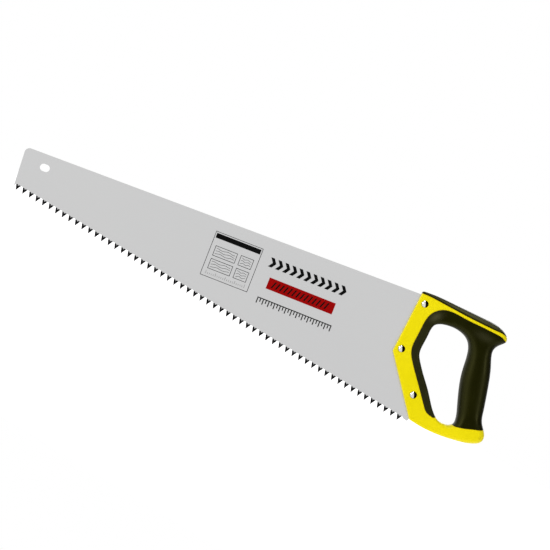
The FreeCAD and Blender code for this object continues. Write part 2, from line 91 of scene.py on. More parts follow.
# Lower border of the soft strip along the top
TOP_BORDER = [
    (-46.4, 119.5), (-43.5, 120.2), (-40.4, 120.9), (-37.4, 121.35), (-32.0, 121.8),
    (-13.4, 122.7), (4.8, 123.5), (22.9, 124.8), (41.0, 126.6), (47.0, 127.0), (50.0, 126.5),
]
# Points outside the handle that the borders run on to, so that they cut right across it
GRIP_TOP_NEAR = (58.0, 119.6)
GRIP_TOP_FAR = (96.0, 104.0)
GRIP_LOW_FAR = (96.0, 46.0)
IN_OPENING = (38.0, 28.0)
TOP_REAR = (58.0, 125.2)

BOLTS = {"upper": (-35.7, 112.5), "middle": (-32.7, 62.3), "lower": (1.2, 28.9)}
SEAT = 7.5  # distance of the bolt seats from the mid plane
SEAT_R = 3.6
BORE_R = 2.6
SKIN = 3.2  # width of soft skin beyond the core's inner skeleton, in the plane
SLOT_HALF = 0.56  # half width of the blade slot
CHUNK = 2000  # points handled at a time


# ---- Curves ------------------------------------------------------------------------------------

def spline(points, closed=False, step=1.0):
    """Natural (or periodic) cubic through the points by chord length, resampled about every step."""
    knots = np.array(points, float)
    if closed:
        knots = np.vstack([knots, knots[:1]])
    chords = np.linalg.norm(np.diff(knots, axis=0), axis=1)
    knot_at = np.concatenate([[0], np.cumsum(chords)])
    count = len(knots)
    gap = np.diff(knot_at)
    matrix = np.zeros((count, count))
    wanted = np.zeros((count, 2))
    for i in range(1, count - 1):
        matrix[i, i - 1] = gap[i - 1]
        matrix[i, i] = 2 * (gap[i - 1] + gap[i])
        matrix[i, i + 1] = gap[i]
        slope_after = (knots[i + 1] - knots[i]) / gap[i]
        slope_before = (knots[i] - knots[i - 1]) / gap[i - 1]
        wanted[i] = 6 * (slope_after - slope_before)
    if closed:
        matrix[0, 0], matrix[0, -1] = 1, -1
        matrix[-1, 0], matrix[-1, 1] = 2 * gap[0], gap[0]
        matrix[-1, -2], matrix[-1, -1] = gap[-1], 2 * gap[-1]
        wanted[-1] = 6 * ((knots[1] - knots[0]) / gap[0] - (knots[-1] - knots[-2]) / gap[-1])
    else:
        matrix[0, 0] = matrix[-1, -1] = 1
    bend = np.linalg.solve(matrix, wanted)  # second derivative at each knot
    steps = max(2, int(round(knot_at[-1] / step)))
    at = np.linspace(0, knot_at[-1], steps + 1)
    i = np.clip(np.searchsorted(knot_at, at, side="right") - 1, 0, count - 2)
    before = (knot_at[i + 1] - at) / gap[i]
    after = (at - knot_at[i]) / gap[i]
    linear = before[:, None] * knots[i] + after[:, None] * knots[i + 1]
    cubic = (before**3 - before)[:, None] * bend[i] + (after**3 - after)[:, None] * bend[i + 1]
    curve = linear + cubic * (gap[i] ** 2)[:, None] / 6
    return curve[:-1] if closed else curve


def straight(start, end, step=1.5):
    start, end = np.array(start, float), np.array(end, float)
    count = max(1, int(round(np.linalg.norm(end - start) / step)))
    return start + (end - start) * np.linspace(0, 1, count + 1)[:, None]


def unit(vector):
    return vector / np.linalg.norm(vector)


def rounded_run(points, radii, arc_steps=6):
    """Straight runs with rounded inner corners."""
    corners = [np.array(p, float) for p in points]
    pieces = []
    last = corners[0]
    for i, radius in enumerate(radii, start=1):
        way_in = unit(corners[i] - corners[i - 1])
        way_out = unit(corners[i + 1] - corners[i])
        turn = math.acos(np.clip(way_in @ way_out, -1, 1))
        reach = radius * math.tan(turn / 2)
        arc_start, arc_end = corners[i] - way_in * reach, corners[i] + way_out * reach
        pieces.append(straight(last, arc_start)[:-1])
        centre = corners[i] + unit(way_out - way_in) * radius / math.cos(turn / 2)
        first = math.atan2(*(arc_start - centre)[::-1])
        final = math.atan2(*(arc_end - centre)[::-1])
        sweep = (final - first + math.pi) % (2 * math.pi) - math.pi
        angles = [first + sweep * k / arc_steps for k in range(arc_steps)]
        pieces.append(np.array([
            centre + radius * np.array([math.cos(angle), math.sin(angle)]) for angle in angles
        ]))
        last = arc_end
    pieces.append(straight(last, corners[-1]))
    return np.vstack(pieces)


def line_distance(places, line, closed=True):
    """Distance from each place to a polyline."""
    starts = line if closed else line[:-1]
    ends = np.roll(line, -1, axis=0) if closed else line[1:]
    run = ends - starts
    run_squared = (run**2).sum(1)
    nearest = np.full(len(places), 1e9)
    for s in range(0, len(places), CHUNK):
        reach = places[s:s + CHUNK][:, None, :] - starts[None]
        share = np.clip((reach * run[None]).sum(2) / run_squared[None], 0, 1)
        nearest[s:s + CHUNK] = np.linalg.norm(reach - share[..., None] * run[None], axis=2).min(1)
    return nearest


def inside(places, polygon):
    x, z = places[:, 0], places[:, 1]
    result = np.zeros(len(places), bool)
    for (x0, z0), (x1, z1) in zip(polygon, np.roll(polygon, -1, axis=0)):
        if z0 == z1:
            continue
        result ^= ((z0 > z) != (z1 > z)) & (x < (x1 - x0) * (z - z0) / (z1 - z0) + x0)
    return result


def offset_line(line, by, closed=True):
    """A line moved to its left, and which of its points do not fold back."""
    if closed:
        tangent = np.roll(line, -1, axis=0) - np.roll(line, 1, axis=0)
    else:
        tangent = np.gradient(line, axis=0)
    tangent /= np.linalg.norm(tangent, axis=1)[:, None]
    moved = line + np.stack([-tangent[:, 1], tangent[:, 0]], 1) * by
    return moved, line_distance(moved, line, closed) >= abs(by) - 0.004


def smoothstep(value, low, high):
    t = np.clip((value - low) / (high - low), 0, 1)
    return t * t * (3 - 2 * t)


def bell(offsets, width):
    """Gaussian weights that add up to one."""
    weights = np.exp(-0.5 * (offsets / width) ** 2)
    return weights / weights.sum()


# Both outlines run anticlockwise in (x, z)
OUTER = np.vstack([
    spline(REAR)[:-1],
    rounded_run([REAR[-1], FRONT_TOP, FRONT_KNEE, HEEL_FRONT, REAR[0]], radii=[1.5, 3.0, 2.5])[:-1],
])
OPEN = spline(OPENING, closed=True)
GRIP_FRONT_LINE = np.vstack([
    straight(GRIP_TOP_FAR, GRIP_TOP_NEAR, 1.0)[:-1],
    straight(GRIP_TOP_NEAR, GRIP_FRONT[0], 0.6)[:-1],
    spline(GRIP_FRONT, step=0.9),
    straight(GRIP_FRONT[-1], IN_OPENING, 0.9)[1:],
])
GRIP_REAR_LINE = np.vstack([
    straight(IN_OPENING, GRIP_REAR[0], 0.9)[:-1],
    spline(GRIP_REAR, step=0.8),
    straight(GRIP_REAR[-1], GRIP_LOW_FAR, 0.9)[1:],
])
TOP_LINE = np.vstack([
    spline(TOP_BORDER, step=0.9), straight(TOP_BORDER[-1], TOP_REAR, 0.6)[1:],
])
BORDERS = (GRIP_FRONT_LINE, GRIP_REAR_LINE, TOP_LINE)
GRIP_AREA = np.vstack([
    GRIP_FRONT_LINE[:-1], GRIP_REAR_LINE[:-1], straight(GRIP_LOW_FAR, GRIP_TOP_FAR, 5)[:-1],
])
TOP_AREA = np.vstack([TOP_LINE, np.array([(62.0, 150.0), (TOP_BORDER[0][0], 150.0)])])


def border_distance(places):
    return np.minimum.reduce([line_distance(places, b, closed=False) for b in BORDERS])


def edge_distance(places):
    return np.minimum(line_distance(places, OUTER), line_distance(places, OPEN))


def bolt_distance(places):
    """Distance to the nearest bolt centre."""
    return np.minimum.reduce([
        np.linalg.norm(places - np.array(bolt), axis=1) for bolt in BOLTS.values()
    ])


def in_handle(places):
    return inside(places, OUTER) & ~inside(places, OPEN)


# ---- Handle thickness over the (x, z) plane ----------------------------------------------------

LEAN = math.radians(20.6)  # how far the grip's length is turned from Z towards -X
HALF = 8.5  # half thickness of the front cheeks
FULL = 14.0  # greatest half thickness of the grip
# (place across the grip, half thickness)
PROFILE = np.array([
    (-90, HALF), (24.0, HALF), (34.0, HALF + 0.35), (44.0, HALF + 1.7), (54.0, FULL - 1.6),
    (63.0, FULL - 0.2), (71.0, FULL), (80.0, FULL - 0.4), (92.0, FULL - 1.4), (110.0, FULL - 3.2),
])
PROFILE_STEP = 0.25
PROFILE_SOFTENING = 2.2
PROFILE_PAD = 24  # samples on each side of the softening window
FLAT_BEFORE = 20  # the profile stays exactly flat up to here

# Edges: ((x, z) station, (share of the half thickness that rolls away, width of the roll))
OUTER_KEYS = [
    ((-43.5, 118.0), (0.16, 1.4)), ((-41.0, 90.0), (0.16, 1.4)), ((-39.5, 60.0), (0.16, 1.4)),
    ((-15.0, 31.5), (0.16, 1.4)), ((6.0, 10.2), (0.18, 1.6)), ((24.3, 5.5), (0.34, 3.2)),
    ((48.1, 8.5), (0.46, 4.6)), ((71.6, 15.2), (0.55, 5.6)), ((83.0, 22.8), (0.62, 6.0)),
    ((82.6, 31.0), (0.66, 6.4)), ((77.0, 37.6), (0.86, 9.0)), ((72.0, 45.5), (0.97, 13.0)),
    ((66.8, 60.0), (1.0, 14.6)), ((58.4, 82.2), (1.0, 14.6)), ((51.5, 96.5), (0.98, 13.5)),
    ((47.2, 106.0), (0.92, 11.0)), ((48.6, 114.5), (0.78, 8.0)), ((53.0, 121.0), (0.62, 5.0)),
    ((51.5, 126.5), (0.62, 5.2)), ((43.0, 130.6), (0.66, 6.4)), ((23.4, 130.9), (0.66, 6.6)),
    ((-5.0, 128.0), (0.58, 5.0)), ((-29.2, 125.6), (0.46, 3.9)), ((-38.5, 123.9), (0.34, 2.8)),
    ((-42.8, 122.9), (0.2, 1.6)),
]
OPEN_KEYS = [
    ((3.2, 107.3), (0.72, 6.6)), ((-10.0, 104.2), (0.62, 5.4)), ((-17.0, 97.0), (0.52, 4.6)),
    ((-16.4, 79.0), (0.5, 4.4)), ((-14.3, 66.5), (0.5, 4.4)), ((11.2, 40.6), (0.5, 4.4)),
    ((26.0, 25.5), (0.5, 4.4)), ((35.5, 19.8), (0.48, 4.2)), ((45.0, 20.4), (0.55, 5.0)),
    ((50.4, 24.8), (0.78, 8.0)), ((48.0, 35.0), (0.96, 12.5)), ((41.0, 49.5), (1.0, 14.6)),
    ((32.4, 69.5), (1.0, 14.6)), ((27.5, 88.0), (0.97, 13.0)), ((22.4, 100.1), (0.88, 9.6)),
    ((12.5, 106.4), (0.8, 8.0)),
]
KEY_SAMPLES = 1200
KEY_SOFTENING = 3.0


def softened_profile():
    across = np.linspace(-90, 110, 801)
    half = np.interp(across, PROFILE[:, 0], PROFILE[:, 1])
    offsets = np.arange(-PROFILE_PAD, PROFILE_PAD + 1) * PROFILE_STEP
    weights = bell(offsets, PROFILE_SOFTENING)
    half = np.convolve(np.pad(half, PROFILE_PAD, mode="edge"), weights, mode="valid")
    half[across < FLAT_BEFORE] = HALF
    return across, half


PROFILE_ACROSS, PROFILE_HALF = softened_profile()


def thickness(places):
    """Half thickness before any rounding: flat cheeks at the front, swelling into the grip."""
    across = places[:, 0] * math.cos(LEAN) + places[:, 1] * math.sin(LEAN)
    along = -places[:, 0] * math.sin(LEAN) + places[:, 1] * math.cos(LEAN)
    grip_side = smoothstep(across, 46, 62)
    # the swell draws in towards the top of the grip and, less, towards its foot
    draw_top = 0.085 * smoothstep(along, 66, 98) * grip_side
    draw_foot = 0.05 * smoothstep(-along, 0, 22) * grip_side
    return np.interp(across, PROFILE_ACROSS, PROFILE_HALF) * (1.0 - draw_top - draw_foot)


def keyed(outline, keys):
    """Values keyed at (x, z) stations on an outline, spread smoothly along it."""
    lengths = np.linalg.norm(np.roll(outline, -1, axis=0) - outline, axis=1)
    at = np.concatenate([[0], np.cumsum(lengths)[:-1]])
    total = lengths.sum()
    nearest = [np.linalg.norm(outline - np.array(key[0]), axis=1).argmin() for key in keys]
    key_at = at[nearest]
    order = np.argsort(key_at)
    key_at = key_at[order]
    key_values = np.array([key[1] for key in keys], float)[order]
    key_at = np.concatenate([key_at - total, key_at, key_at + total])
    key_values = np.vstack([key_values] * 3)
    fine = np.linspace(0, total, KEY_SAMPLES, endpoint=False)
    width = KEY_SOFTENING / (total / KEY_SAMPLES)
    pad = int(3 * width)
    weights = bell(np.arange(-pad, pad + 1), width)
    columns = []
    for column in key_values.T:
        coarse = np.interp(at, key_at, column)
        dense = np.interp(fine, np.append(at, total), np.append(coarse, coarse[0]))
        wrapped = np.concatenate([dense[-pad:], dense, dense[:pad]])
        dense = np.convolve(wrapped, weights, mode="valid")
        columns.append(np.interp(at, np.append(fine, total), np.append(dense, dense[0])))
    return np.stack(columns, 1)


def spread_values(places, outline, values):
    """The outline's keyed values brought in smoothly from it."""
    result = np.zeros((len(places), values.shape[1]))
    for s in range(0, len(places), CHUNK):
        gaps = np.linalg.norm(places[s:s + CHUNK][:, None, :] - outline[None], axis=2)
        least = gaps.min(1)[:, None]
        width = 1.5 + 0.4 * least
        weights = np.exp(-(gaps**2 - least**2) / (2 * width**2))
        result[s:s + CHUNK] = (weights @ values) / weights.sum(1)[:, None]
    return result


def edge_roll(places, outline, keys):
    """Distance to an outline and the share of the thickness left by its rolled edge."""
    distance = line_distance(places, outline)
    values = spread_values(places, outline, keyed(outline, keys))
    power = 2.15  # 2 would be a true ellipse
    t = np.clip(distance / values[:, 1], 0, 1)
    rolled = (1 - (1 - t) ** power) ** (1 / power)
    return distance, 1 - values[:, 0] * (1 - rolled)


def surface(places):
    """Half thickness with every edge rolled, and distance to the nearest edge."""
    to_outer, outer_share = edge_roll(places, OUTER, OUTER_KEYS)
    to_open, open_share = edge_roll(places, OPEN, OPEN_KEYS)
    return thickness(places) * outer_share * open_share, np.minimum(to_outer, to_open)


# ---- Slot for the blade's tang -----------------------------------------------------------------

TANG_DEPTH = 14.9  # how far the slot reaches in from the front edge
TANG_TOP_Z = 114.2
TANG_LOW_Z = 11.7


def blade_back(x):
    """Height of the blade's back edge."""
    return 41.9 + 0.1879 * (x + 454.4)


def tang_corners():
    """The handle's front edge moved in by the tang's depth: top, knee and low corners."""
    top, knee, heel = (np.array(p, float) for p in (FRONT_TOP, FRONT_KNEE, HEEL_FRONT))
    down, low = unit(knee - top), unit(heel - knee)
    down_in = np.array([-down[1], down[0]]) * TANG_DEPTH
    low_in = np.array([-low[1], low[0]]) * TANG_DEPTH
    top_in, heel_in = top + down_in, heel + low_in
    start, end = knee + down_in, knee + low_in
    turned = down[0] * low[1] - down[1] * low[0]
    reach = ((end[0] - start[0]) * low[1] - (end[1] - start[1]) * low[0]) / turned
    return (
        top_in + down * ((TANG_TOP_Z - top_in[1]) / down[1]),
        start + down * reach,
        heel_in + low * ((TANG_LOW_Z - heel_in[1]) / low[1]),
    )


def slot_outline():
    top, knee, low = tang_corners()
    return np.array([
        (-60.0, blade_back(-60.0) + 0.3), (-41.4, blade_back(-41.4) + 0.3),
        (top[0], blade_back(-41.4) - 0.2), tuple(knee), tuple(low),
        (10.9, 6.2), (10.2, 2.0), (-60.0, 2.0),
    ])


SLOT = slot_outline()

# ---- Plane triangulation shared by the three handle mouldings ----------------------------------

EDGE_RINGS = [0.03, 0.12, 0.28, 0.5, 0.8, 1.2, 1.75, 2.45]  # drawn in from both outlines
BORDER_OFFSETS = (0.14, 0.34, 0.6, -0.14, -0.34, -0.6)
# (radius, points) round each bolt
BOLT_RINGS = [
    (BORE_R, 36), (SEAT_R, 48), (SEAT_R + 0.14, 48), (SEAT_R + 0.32, 48), (SEAT_R + 0.9, 36),
]
GRID_STEP = 1.3
# (outline, side on which the handle lies: 1 is left of the line)
OUTLINE_SIDES = ((OUTER, 1), (OPEN, -1))


def resample_near_edges(line, low=0.12, high=0.9, growth=0.3):
    """Resample a polyline, finer where it nears the handle's edges."""
    dense = [line[0]]
    for start, end in zip(line[:-1], line[1:]):
        count = max(1, int(np.linalg.norm(end - start) / 0.06))
        for k in range(1, count + 1):
            dense.append(start + (end - start) * k / count)
    dense = np.array(dense)
    distance = edge_distance(dense)
    chosen = [dense[0]]
    travelled = 0.0
    for i in range(1, len(dense)):
        travelled += np.linalg.norm(dense[i] - dense[i - 1])
        if travelled >= np.clip(low + growth * distance[i], low, high):
            chosen.append(dense[i])
            travelled = 0.0
    chosen.append(dense[-1])
    return np.array(chosen)


def skeleton_loop(outline, side):
    """Where the soft skin ends inside the handle."""
    moved, keep = offset_line(outline, side * SKIN)
    return moved[keep]


SKELETON_OUTER, SKELETON_OPEN = (skeleton_loop(*pair) for pair in OUTLINE_SIDES)


class Drawing:
    """Points and fixed edges to be triangulated."""

    def __init__(self):
        self.points = []
        self.edges = []

    def add(self, line, closed=False, keep=None, link=True):
        index = []
        for i, place in enumerate(line):
            if keep is None or keep[i]:
                index.append(len(self.points))
                self.points.append((float(place[0]), float(place[1])))
            else:
                index.append(-1)
        if link:
            pairs = list(zip(index[:-1], index[1:])) + ([(index[-1], index[0])] if closed else [])
            self.edges.extend((a, b) for a, b in pairs if a >= 0 and b >= 0)

    def triangles(self):
        points = [Vector(p) for p in self.points]
        corners, _, faces, *_ = delaunay_2d_cdt(points, self.edges, [], 0, 1e-5)
        return np.array([(v.x, v.y) for v in corners]), np.array([f for f in faces if len(f) == 3])


def draw_borders(drawing):
    for border in BORDERS:
        fine = resample_near_edges(border)
        drawing.add(fine)
        for offset in BORDER_OFFSETS:
            moved, keep = offset_line(fine, offset, closed=False)
            keep = keep & in_handle(moved) & (edge_distance(moved) > 0.05)
            drawing.add(moved, keep=keep, link=False)


def draw_bolts(drawing):
    for x, z in BOLTS.values():
        for radius, count in BOLT_RINGS:
            angle = np.linspace(0, 2 * math.pi, count, endpoint=False)
            ring = np.stack([x + radius * np.cos(angle), z + radius * np.sin(angle)], 1)
            drawing.add(ring, True, link=radius <= SEAT_R)


def draw_grid(drawing):
    """Even triangular points over the inside, clear of everything drawn finer."""
    rows = []
    z = 4.0
    while z < 133:
        x = np.arange(-46 + (GRID_STEP / 2 if len(rows) % 2 else 0), 88, GRID_STEP)
        rows.append(np.stack([x, np.full(len(x), z)], 1))
        z += GRID_STEP * math.sqrt(3) / 2
    grid = np.vstack(rows)
    grid = grid[in_handle(grid)]
    clear = edge_distance(grid) > EDGE_RINGS[-1] + 0.5
    clear &= border_distance(grid) > 0.95
    clear &= bolt_distance(grid) > SEAT_R + 1.3
    drawing.add(grid[clear], link=False)


def build_plane():
    """Points, anticlockwise triangles and triangle centres over the handle."""
    drawing = Drawing()
    drawing.add(OUTER, True)
    drawing.add(OPEN, True)
    draw_borders(drawing)
    drawing.add(SKELETON_OUTER, True)
    drawing.add(SKELETON_OPEN, True)
    slot_sides = zip(SLOT, np.roll(SLOT, -1, axis=0))
    drawing.add(np.vstack([straight(start, end)[:-1] for start, end in slot_sides]), True)
    draw_bolts(drawing)
    for outline, side in OUTLINE_SIDES:
        for ring in EDGE_RINGS:
            moved, keep = offset_line(outline, side * ring)
            drawing.add(moved, True, keep=keep, link=ring <= 0.5)
    draw_grid(drawing)

    points, tris = drawing.triangles()
    centres = points[tris].mean(1)
    first = points[tris[:, 1]] - points[tris[:, 0]]
    second = points[tris[:, 2]] - points[tris[:, 0]]
    area = first[:, 0] * second[:, 1] - first[:, 1] * second[:, 0]
    tris[area < 0] = tris[area < 0][:, ::-1]
    keep = in_handle(centres) & (np.abs(area) > 1e-9)
    return points, tris[keep], centres[keep]


POINTS, TRIS, CENTRES = build_plane()

# Which triangles lie in each region
IN_TOP = inside(CENTRES, TOP_AREA)
IN_GRIP = inside(CENTRES, GRIP_AREA) & ~IN_TOP
IN_SKELETON = inside(CENTRES, SKELETON_OUTER) & ~inside(CENTRES, SKELETON_OPEN)
IN_SLOT = inside(CENTRES, SLOT)
CENTRE_TO_BOLT = bolt_distance(CENTRES)
IN_BORE = CENTRE_TO_BOLT < BORE_R
IN_SEAT = (CENTRE_TO_BOLT >= BORE_R) & (CENTRE_TO_BOLT < SEAT_R)

SURFACE, TO_EDGE = surface(POINTS)
TO_BORDER = border_distance(POINTS)
TO_BOLT = bolt_distance(POINTS)

# ---- Handle mouldings --------------------------------------------------------------------------

# Seven layers lie between eight levels across Y:
# -outer, -seat, -skeleton, -slot, slot, skeleton, seat, outer
LAYERS = 7
OUTSIDE_LAYERS = (0, 6)
SKELETON_LAYERS = (2, 3, 4)
SLOT_LAYER = 3
PROUD = 0.22  # how far the soft pieces stand above the core


def shoulder(distance, radius, depth):
    """How far a small rounded shoulder drops at a distance from a joint line."""
    t = np.clip(distance / radius, 0, 1)
    return depth * (1 - np.sqrt(np.clip(1 - (1 - t) ** 2, 0, 1)))


def layer_levels(proud):
    fade = smoothstep(TO_EDGE, 0.0, 1.2)
    raised = proud * fade * smoothstep(TO_BORDER, 0.0, 0.5)
    joint_drop = shoulder(TO_BORDER, radius=0.6, depth=0.42) * (0.25 + 0.75 * fade)
    seat_drop = shoulder(TO_BOLT - SEAT_R, radius=0.32, depth=0.26)
    outer = np.maximum(SURFACE + raised - joint_drop - seat_drop, 0.0)
    skeleton = np.maximum(SURFACE * 0.72 - 0.3, 0.9)
    skeleton = np.minimum(skeleton, np.maximum(outer - 0.6, 0.0) + 1e-9)
    seat = np.full(len(POINTS), SEAT)
    slot = np.full(len(POINTS), SLOT_HALF)
    return np.stack([-outer, -seat, -skeleton, -slot, slot, skeleton, seat, outer])


def runs(flags):
    """Start and end of each unbroken run of true flags."""
    start = 0
    while start < len(flags):
        end = start
        while end < len(flags) and flags[end]:
            end += 1
        if end > start:
            yield start, end
        start = max(end, start + 1)


def link_object(name, mesh):
    obj = bpy.data.objects.new(name, mesh)
    scene.collection.objects.link(obj)
    return obj


def outward_object(name, mesh, shape):
    """Turn the bmesh's faces outward, write it to the mesh and link the object."""
    bmesh.ops.recalc_face_normals(shape, faces=shape.faces)
    shape.to_mesh(mesh)
    shape.free()
    return link_object(name, mesh)


def smooth(mesh, sharp_from):
    mesh.shade_smooth()
    mesh.set_sharp_from_angle(angle=math.radians(sharp_from))


def moulding_faces(filled, tris, level):
    """Vertices and faces round the filled layers of each triangle."""
    padded = np.zeros((len(filled), LAYERS + 2), bool)
    padded[:, 1:LAYERS + 1] = filled
    changes = padded[:, 1:] != padded[:, :-1]
    active = [set() for _ in range(len(POINTS))]  # the levels at which each point has a face
    for tri, change in zip(tris, changes):
        for point in tri:
            active[point].update(np.nonzero(change)[0].tolist())

    verts, index, faces = [], {}, []

    def vertex(point, k):
        if (point, k) not in index:
            index[point, k] = len(verts)
            x, z = POINTS[point]
            verts.append((x * MM, level[k, point] * MM, (z + RISE) * MM))
        return index[point, k]

    edge_owner = {}
    for n, (tri, solid) in enumerate(zip(tris.tolist(), padded)):
        for k in range(LAYERS + 1):
            below, above = solid[k], solid[k + 1]
            if below != above:
                face = [vertex(point, k) for point in tri]
                # anticlockwise in (x, z) faces -Y, so the +Y side is turned over
                faces.append(face[::-1] if below else face)
        for a, b in zip(tri, tri[1:] + tri[:1]):
            edge_owner[(a, b)] = n

    # walls where a filled layer meets an empty one
    for (a, b), n in edge_owner.items():
        other = edge_owner.get((b, a))
        beyond = filled[other] if other is not None else np.zeros(LAYERS, bool)
        for low, high in runs(filled[n] & ~beyond):
            up = [vertex(a, k) for k in sorted(active[a]) if low <= k <= high]
            down = [vertex(b, k) for k in sorted(active[b], reverse=True) if low <= k <= high]
            wall = up + down
            heights = [verts[i][1] for i in wall]
            if max(abs(height - heights[0]) for height in heights) > 1e-7:
                faces.append(wall)
    return verts, faces


def moulding(name, layers, proud=0.0):
    """A closed mesh from the shared plane: layers[k] says which triangles fill layer k."""
    filled = np.stack(layers, 1)
    used = filled.any(1)
    verts, faces = moulding_faces(filled[used], TRIS[used], layer_levels(proud))
    mesh = bpy.data.meshes.new(name)
    mesh.from_pydata(verts, [], faces)
    shape = bmesh.new()
    shape.from_mesh(mesh)
    bmesh.ops.remove_doubles(shape, verts=shape.verts, dist=2e-7)
    bmesh.ops.dissolve_degenerate(shape, edges=shape.edges, dist=1e-7)
    bmesh.ops.triangulate(shape, faces=[f for f in shape.faces if len(f.verts) > 4])
    obj = outward_object(name, mesh, shape)
    smooth(mesh, sharp_from=38)
    return obj


def core_layers():
    """The hard plastic, with a skeleton running on inside the soft pieces."""
    soft = IN_GRIP | IN_TOP
    hard = ~soft & ~IN_BORE
    layers = []
    for k in range(LAYERS):
        filled = hard & ~IN_SEAT if k in OUTSIDE_LAYERS else hard
        if k in SKELETON_LAYERS:
            filled = filled | (soft & IN_SKELETON)
        if k == SLOT_LAYER:
            filled = filled & ~IN_SLOT
        layers.append(filled)
    return layers


def soft_layers(region):
    return [region & ~IN_SKELETON if k in SKELETON_LAYERS else region for k in range(LAYERS)]


core = moulding("core_moulding", core_layers())
grip = moulding("soft_grip", soft_layers(IN_GRIP), proud=PROUD)
top = moulding("soft_top_strip", soft_layers(IN_TOP), proud=PROUD)


# ---- Painted highlight and edge attributes -----------------------------------------------------

def attribute(obj, name, measure):
    """Store one number per vertex, measured from its (x, z) place in millimetres."""
    mesh = obj.data
    places = np.zeros(len(mesh.vertices) * 3)
    mesh.vertices.foreach_get("co", places)
    places = places.reshape(-1, 3) / MM - np.array([0.0, 0.0, RISE])
    layer = mesh.attributes.new(name, "FLOAT", "POINT")
    layer.data.foreach_set("value", np.asarray(measure(places[:, [0, 2]]), dtype=np.float32))


def near_border(places):
    return np.exp(-((border_distance(places) / 0.5) ** 2))


def near_edge(places):
    return np.exp(-((edge_distance(places) / 1.1) ** 2))


def strip_painted_highlight(places):
    """A painted highlight along the middle of the top strip; its two edges stay dark."""
    to_border = line_distance(places, TOP_LINE, closed=False)
    return 0.85 * smoothstep(np.minimum(to_border, line_distance(places, OUTER)), 0.7, 2.2)


def grip_painted_highlights(places):
    """Painted highlights: a soft glint at the upper front corner, a lighter patch below the top strip
    and a faint lightening a little in front of the opening.
    """
    def spot(x, z, length, width, turn):
        turn = math.radians(turn)
        right, up = places[:, 0] - x, places[:, 1] - z
        along = right * math.cos(turn) + up * math.sin(turn)
        across = -right * math.sin(turn) + up * math.cos(turn)
        return np.exp(-((along / length) ** 2 + (across / width) ** 2))

    corner = spot(-20.0, 106.6, length=7.0, width=4.2, turn=60)
    under_strip = spot(32.0, 115.0, length=10.0, width=4.0, turn=5)
    middle = 35.0 - 0.6 * (places[:, 1] - 30.0)  # a slanting line through the opening
    low = 1.0 - smoothstep(places[:, 1], 88.0, 104.0)
    front = smoothstep(middle - places[:, 0], 0.0, 6.0) * low
    return np.clip(0.80 * corner + 0.35 * under_strip + 0.20 * front, 0, 1)


for piece in (core, grip, top):
    attribute(piece, "joint_line", near_border)
    attribute(piece, "rim", near_edge)
# the grip and the top strip carry painted highlights as a per-vertex attribute
attribute(grip, "painted_highlight", grip_painted_highlights)
attribute(top, "painted_highlight", strip_painted_highlight)

# ---- Turned parts: sleeve nuts on the -Y face, screws on the +Y face ---------------------------

HEAD_R = 3.4  # both nuts and screws
HEX_R = 2.65  # from the axis to a flat
SLEEVE_R = 2.5
SLEEVE_BORE_R = 1.65
PITCH = 0.7
THREAD_ROOT, THREAD_CREST = 1.36, 1.63
THREAD_TOP, THREAD_TIP = -0.5, -10.2
THREAD_ROWS = 104
# (radius, height above the seat), crown to underside
SCREW_HEAD = [
    (0.0, 1.70), (0.8, 1.695), (1.5, 1.67), (2.0, 1.62), (2.4, 1.52), (2.75, 1.36), (3.03, 1.14),
    (3.24, 0.87), (3.36, 0.6), (HEAD_R, 0.36), (HEAD_R, 0.14), (3.28, 0.0), (2.6, 0.0),
]
SCREW_NECK = [(1.95, 0.0), (1.72, -0.12), (1.6, -0.35)]
SCREW_TIP = [(1.05, -10.4), (0.6, -10.5), (0.0, -10.5)]
# Cross recess in the screw head
CROSS_DEPTH, CROSS_REACH, CROSS_WIDTH = 1.3, 1.9, 0.5


def lathe(name, profile, segments, shape):
    """Closed turned solid up local Z.

    profile: (radius, height) from the axis round to the axis again.
    shape: gives radius and height from the profile index, radius, height and angle.
    """
    verts, rings = [], []
    for i, (radius, height) in enumerate(profile):
        if radius < 1e-6:
            rings.append([len(verts)])
            verts.append((0.0, 0.0, height * MM))
            continue
        rings.append(list(range(len(verts), len(verts) + segments)))
        for k in range(segments):
            angle = 2 * math.pi * k / segments
            r, z = shape(i, radius, height, angle)
            verts.append((r * math.cos(angle) * MM, r * math.sin(angle) * MM, z * MM))
    faces = []
    for upper, lower in zip(rings[:-1], rings[1:]):
        for k in range(segments):
            j = (k + 1) % segments
            if len(upper) == 1:
                faces.append((upper[0], lower[k], lower[j]))
            elif len(lower) == 1:
                faces.append((upper[k], lower[0], upper[j]))
            else:
                faces.append((upper[k], lower[k], lower[j], upper[j]))
    mesh = bpy.data.meshes.new(name)
    mesh.from_pydata(verts, [], faces)
    solid = bmesh.new()
    solid.from_mesh(mesh)
    obj = outward_object(name, mesh, solid)
    smooth(mesh, sharp_from=35)
    return obj


def place(obj, centre, side):
    """Point a turned piece along +Y (side 1) or -Y (side -1), on that side's bolt seat."""
    x, z = centre
    move = Matrix.Translation((x * MM, side * SEAT * MM, (z + RISE) * MM))
    obj.data.transform(move @ Matrix.Rotation(math.radians(-90 * side), 4, "X"))
    obj.data.update()


def dome(radius, rise, rim, steps=22, edge=0.28):
    """Spherical cap from the crown to just above the rim, with a small rolled edge."""
    cap = rise - rim
    sphere = (radius * radius + cap * cap) / (2 * cap)
    profile = []
    for k in range(steps + 1):
        r = (radius - edge) * k / steps
        profile.append((r, rim + math.sqrt(sphere * sphere - r * r) - (sphere - cap)))
    edge_top = profile[-1][1]
    for k in range(1, 7):
        angle = math.radians(15 * k)
        drop = (edge_top - rim * 0.55) * (1 - math.cos(angle))
        profile.append((radius - edge + edge * math.sin(angle), edge_top - drop))
    return profile


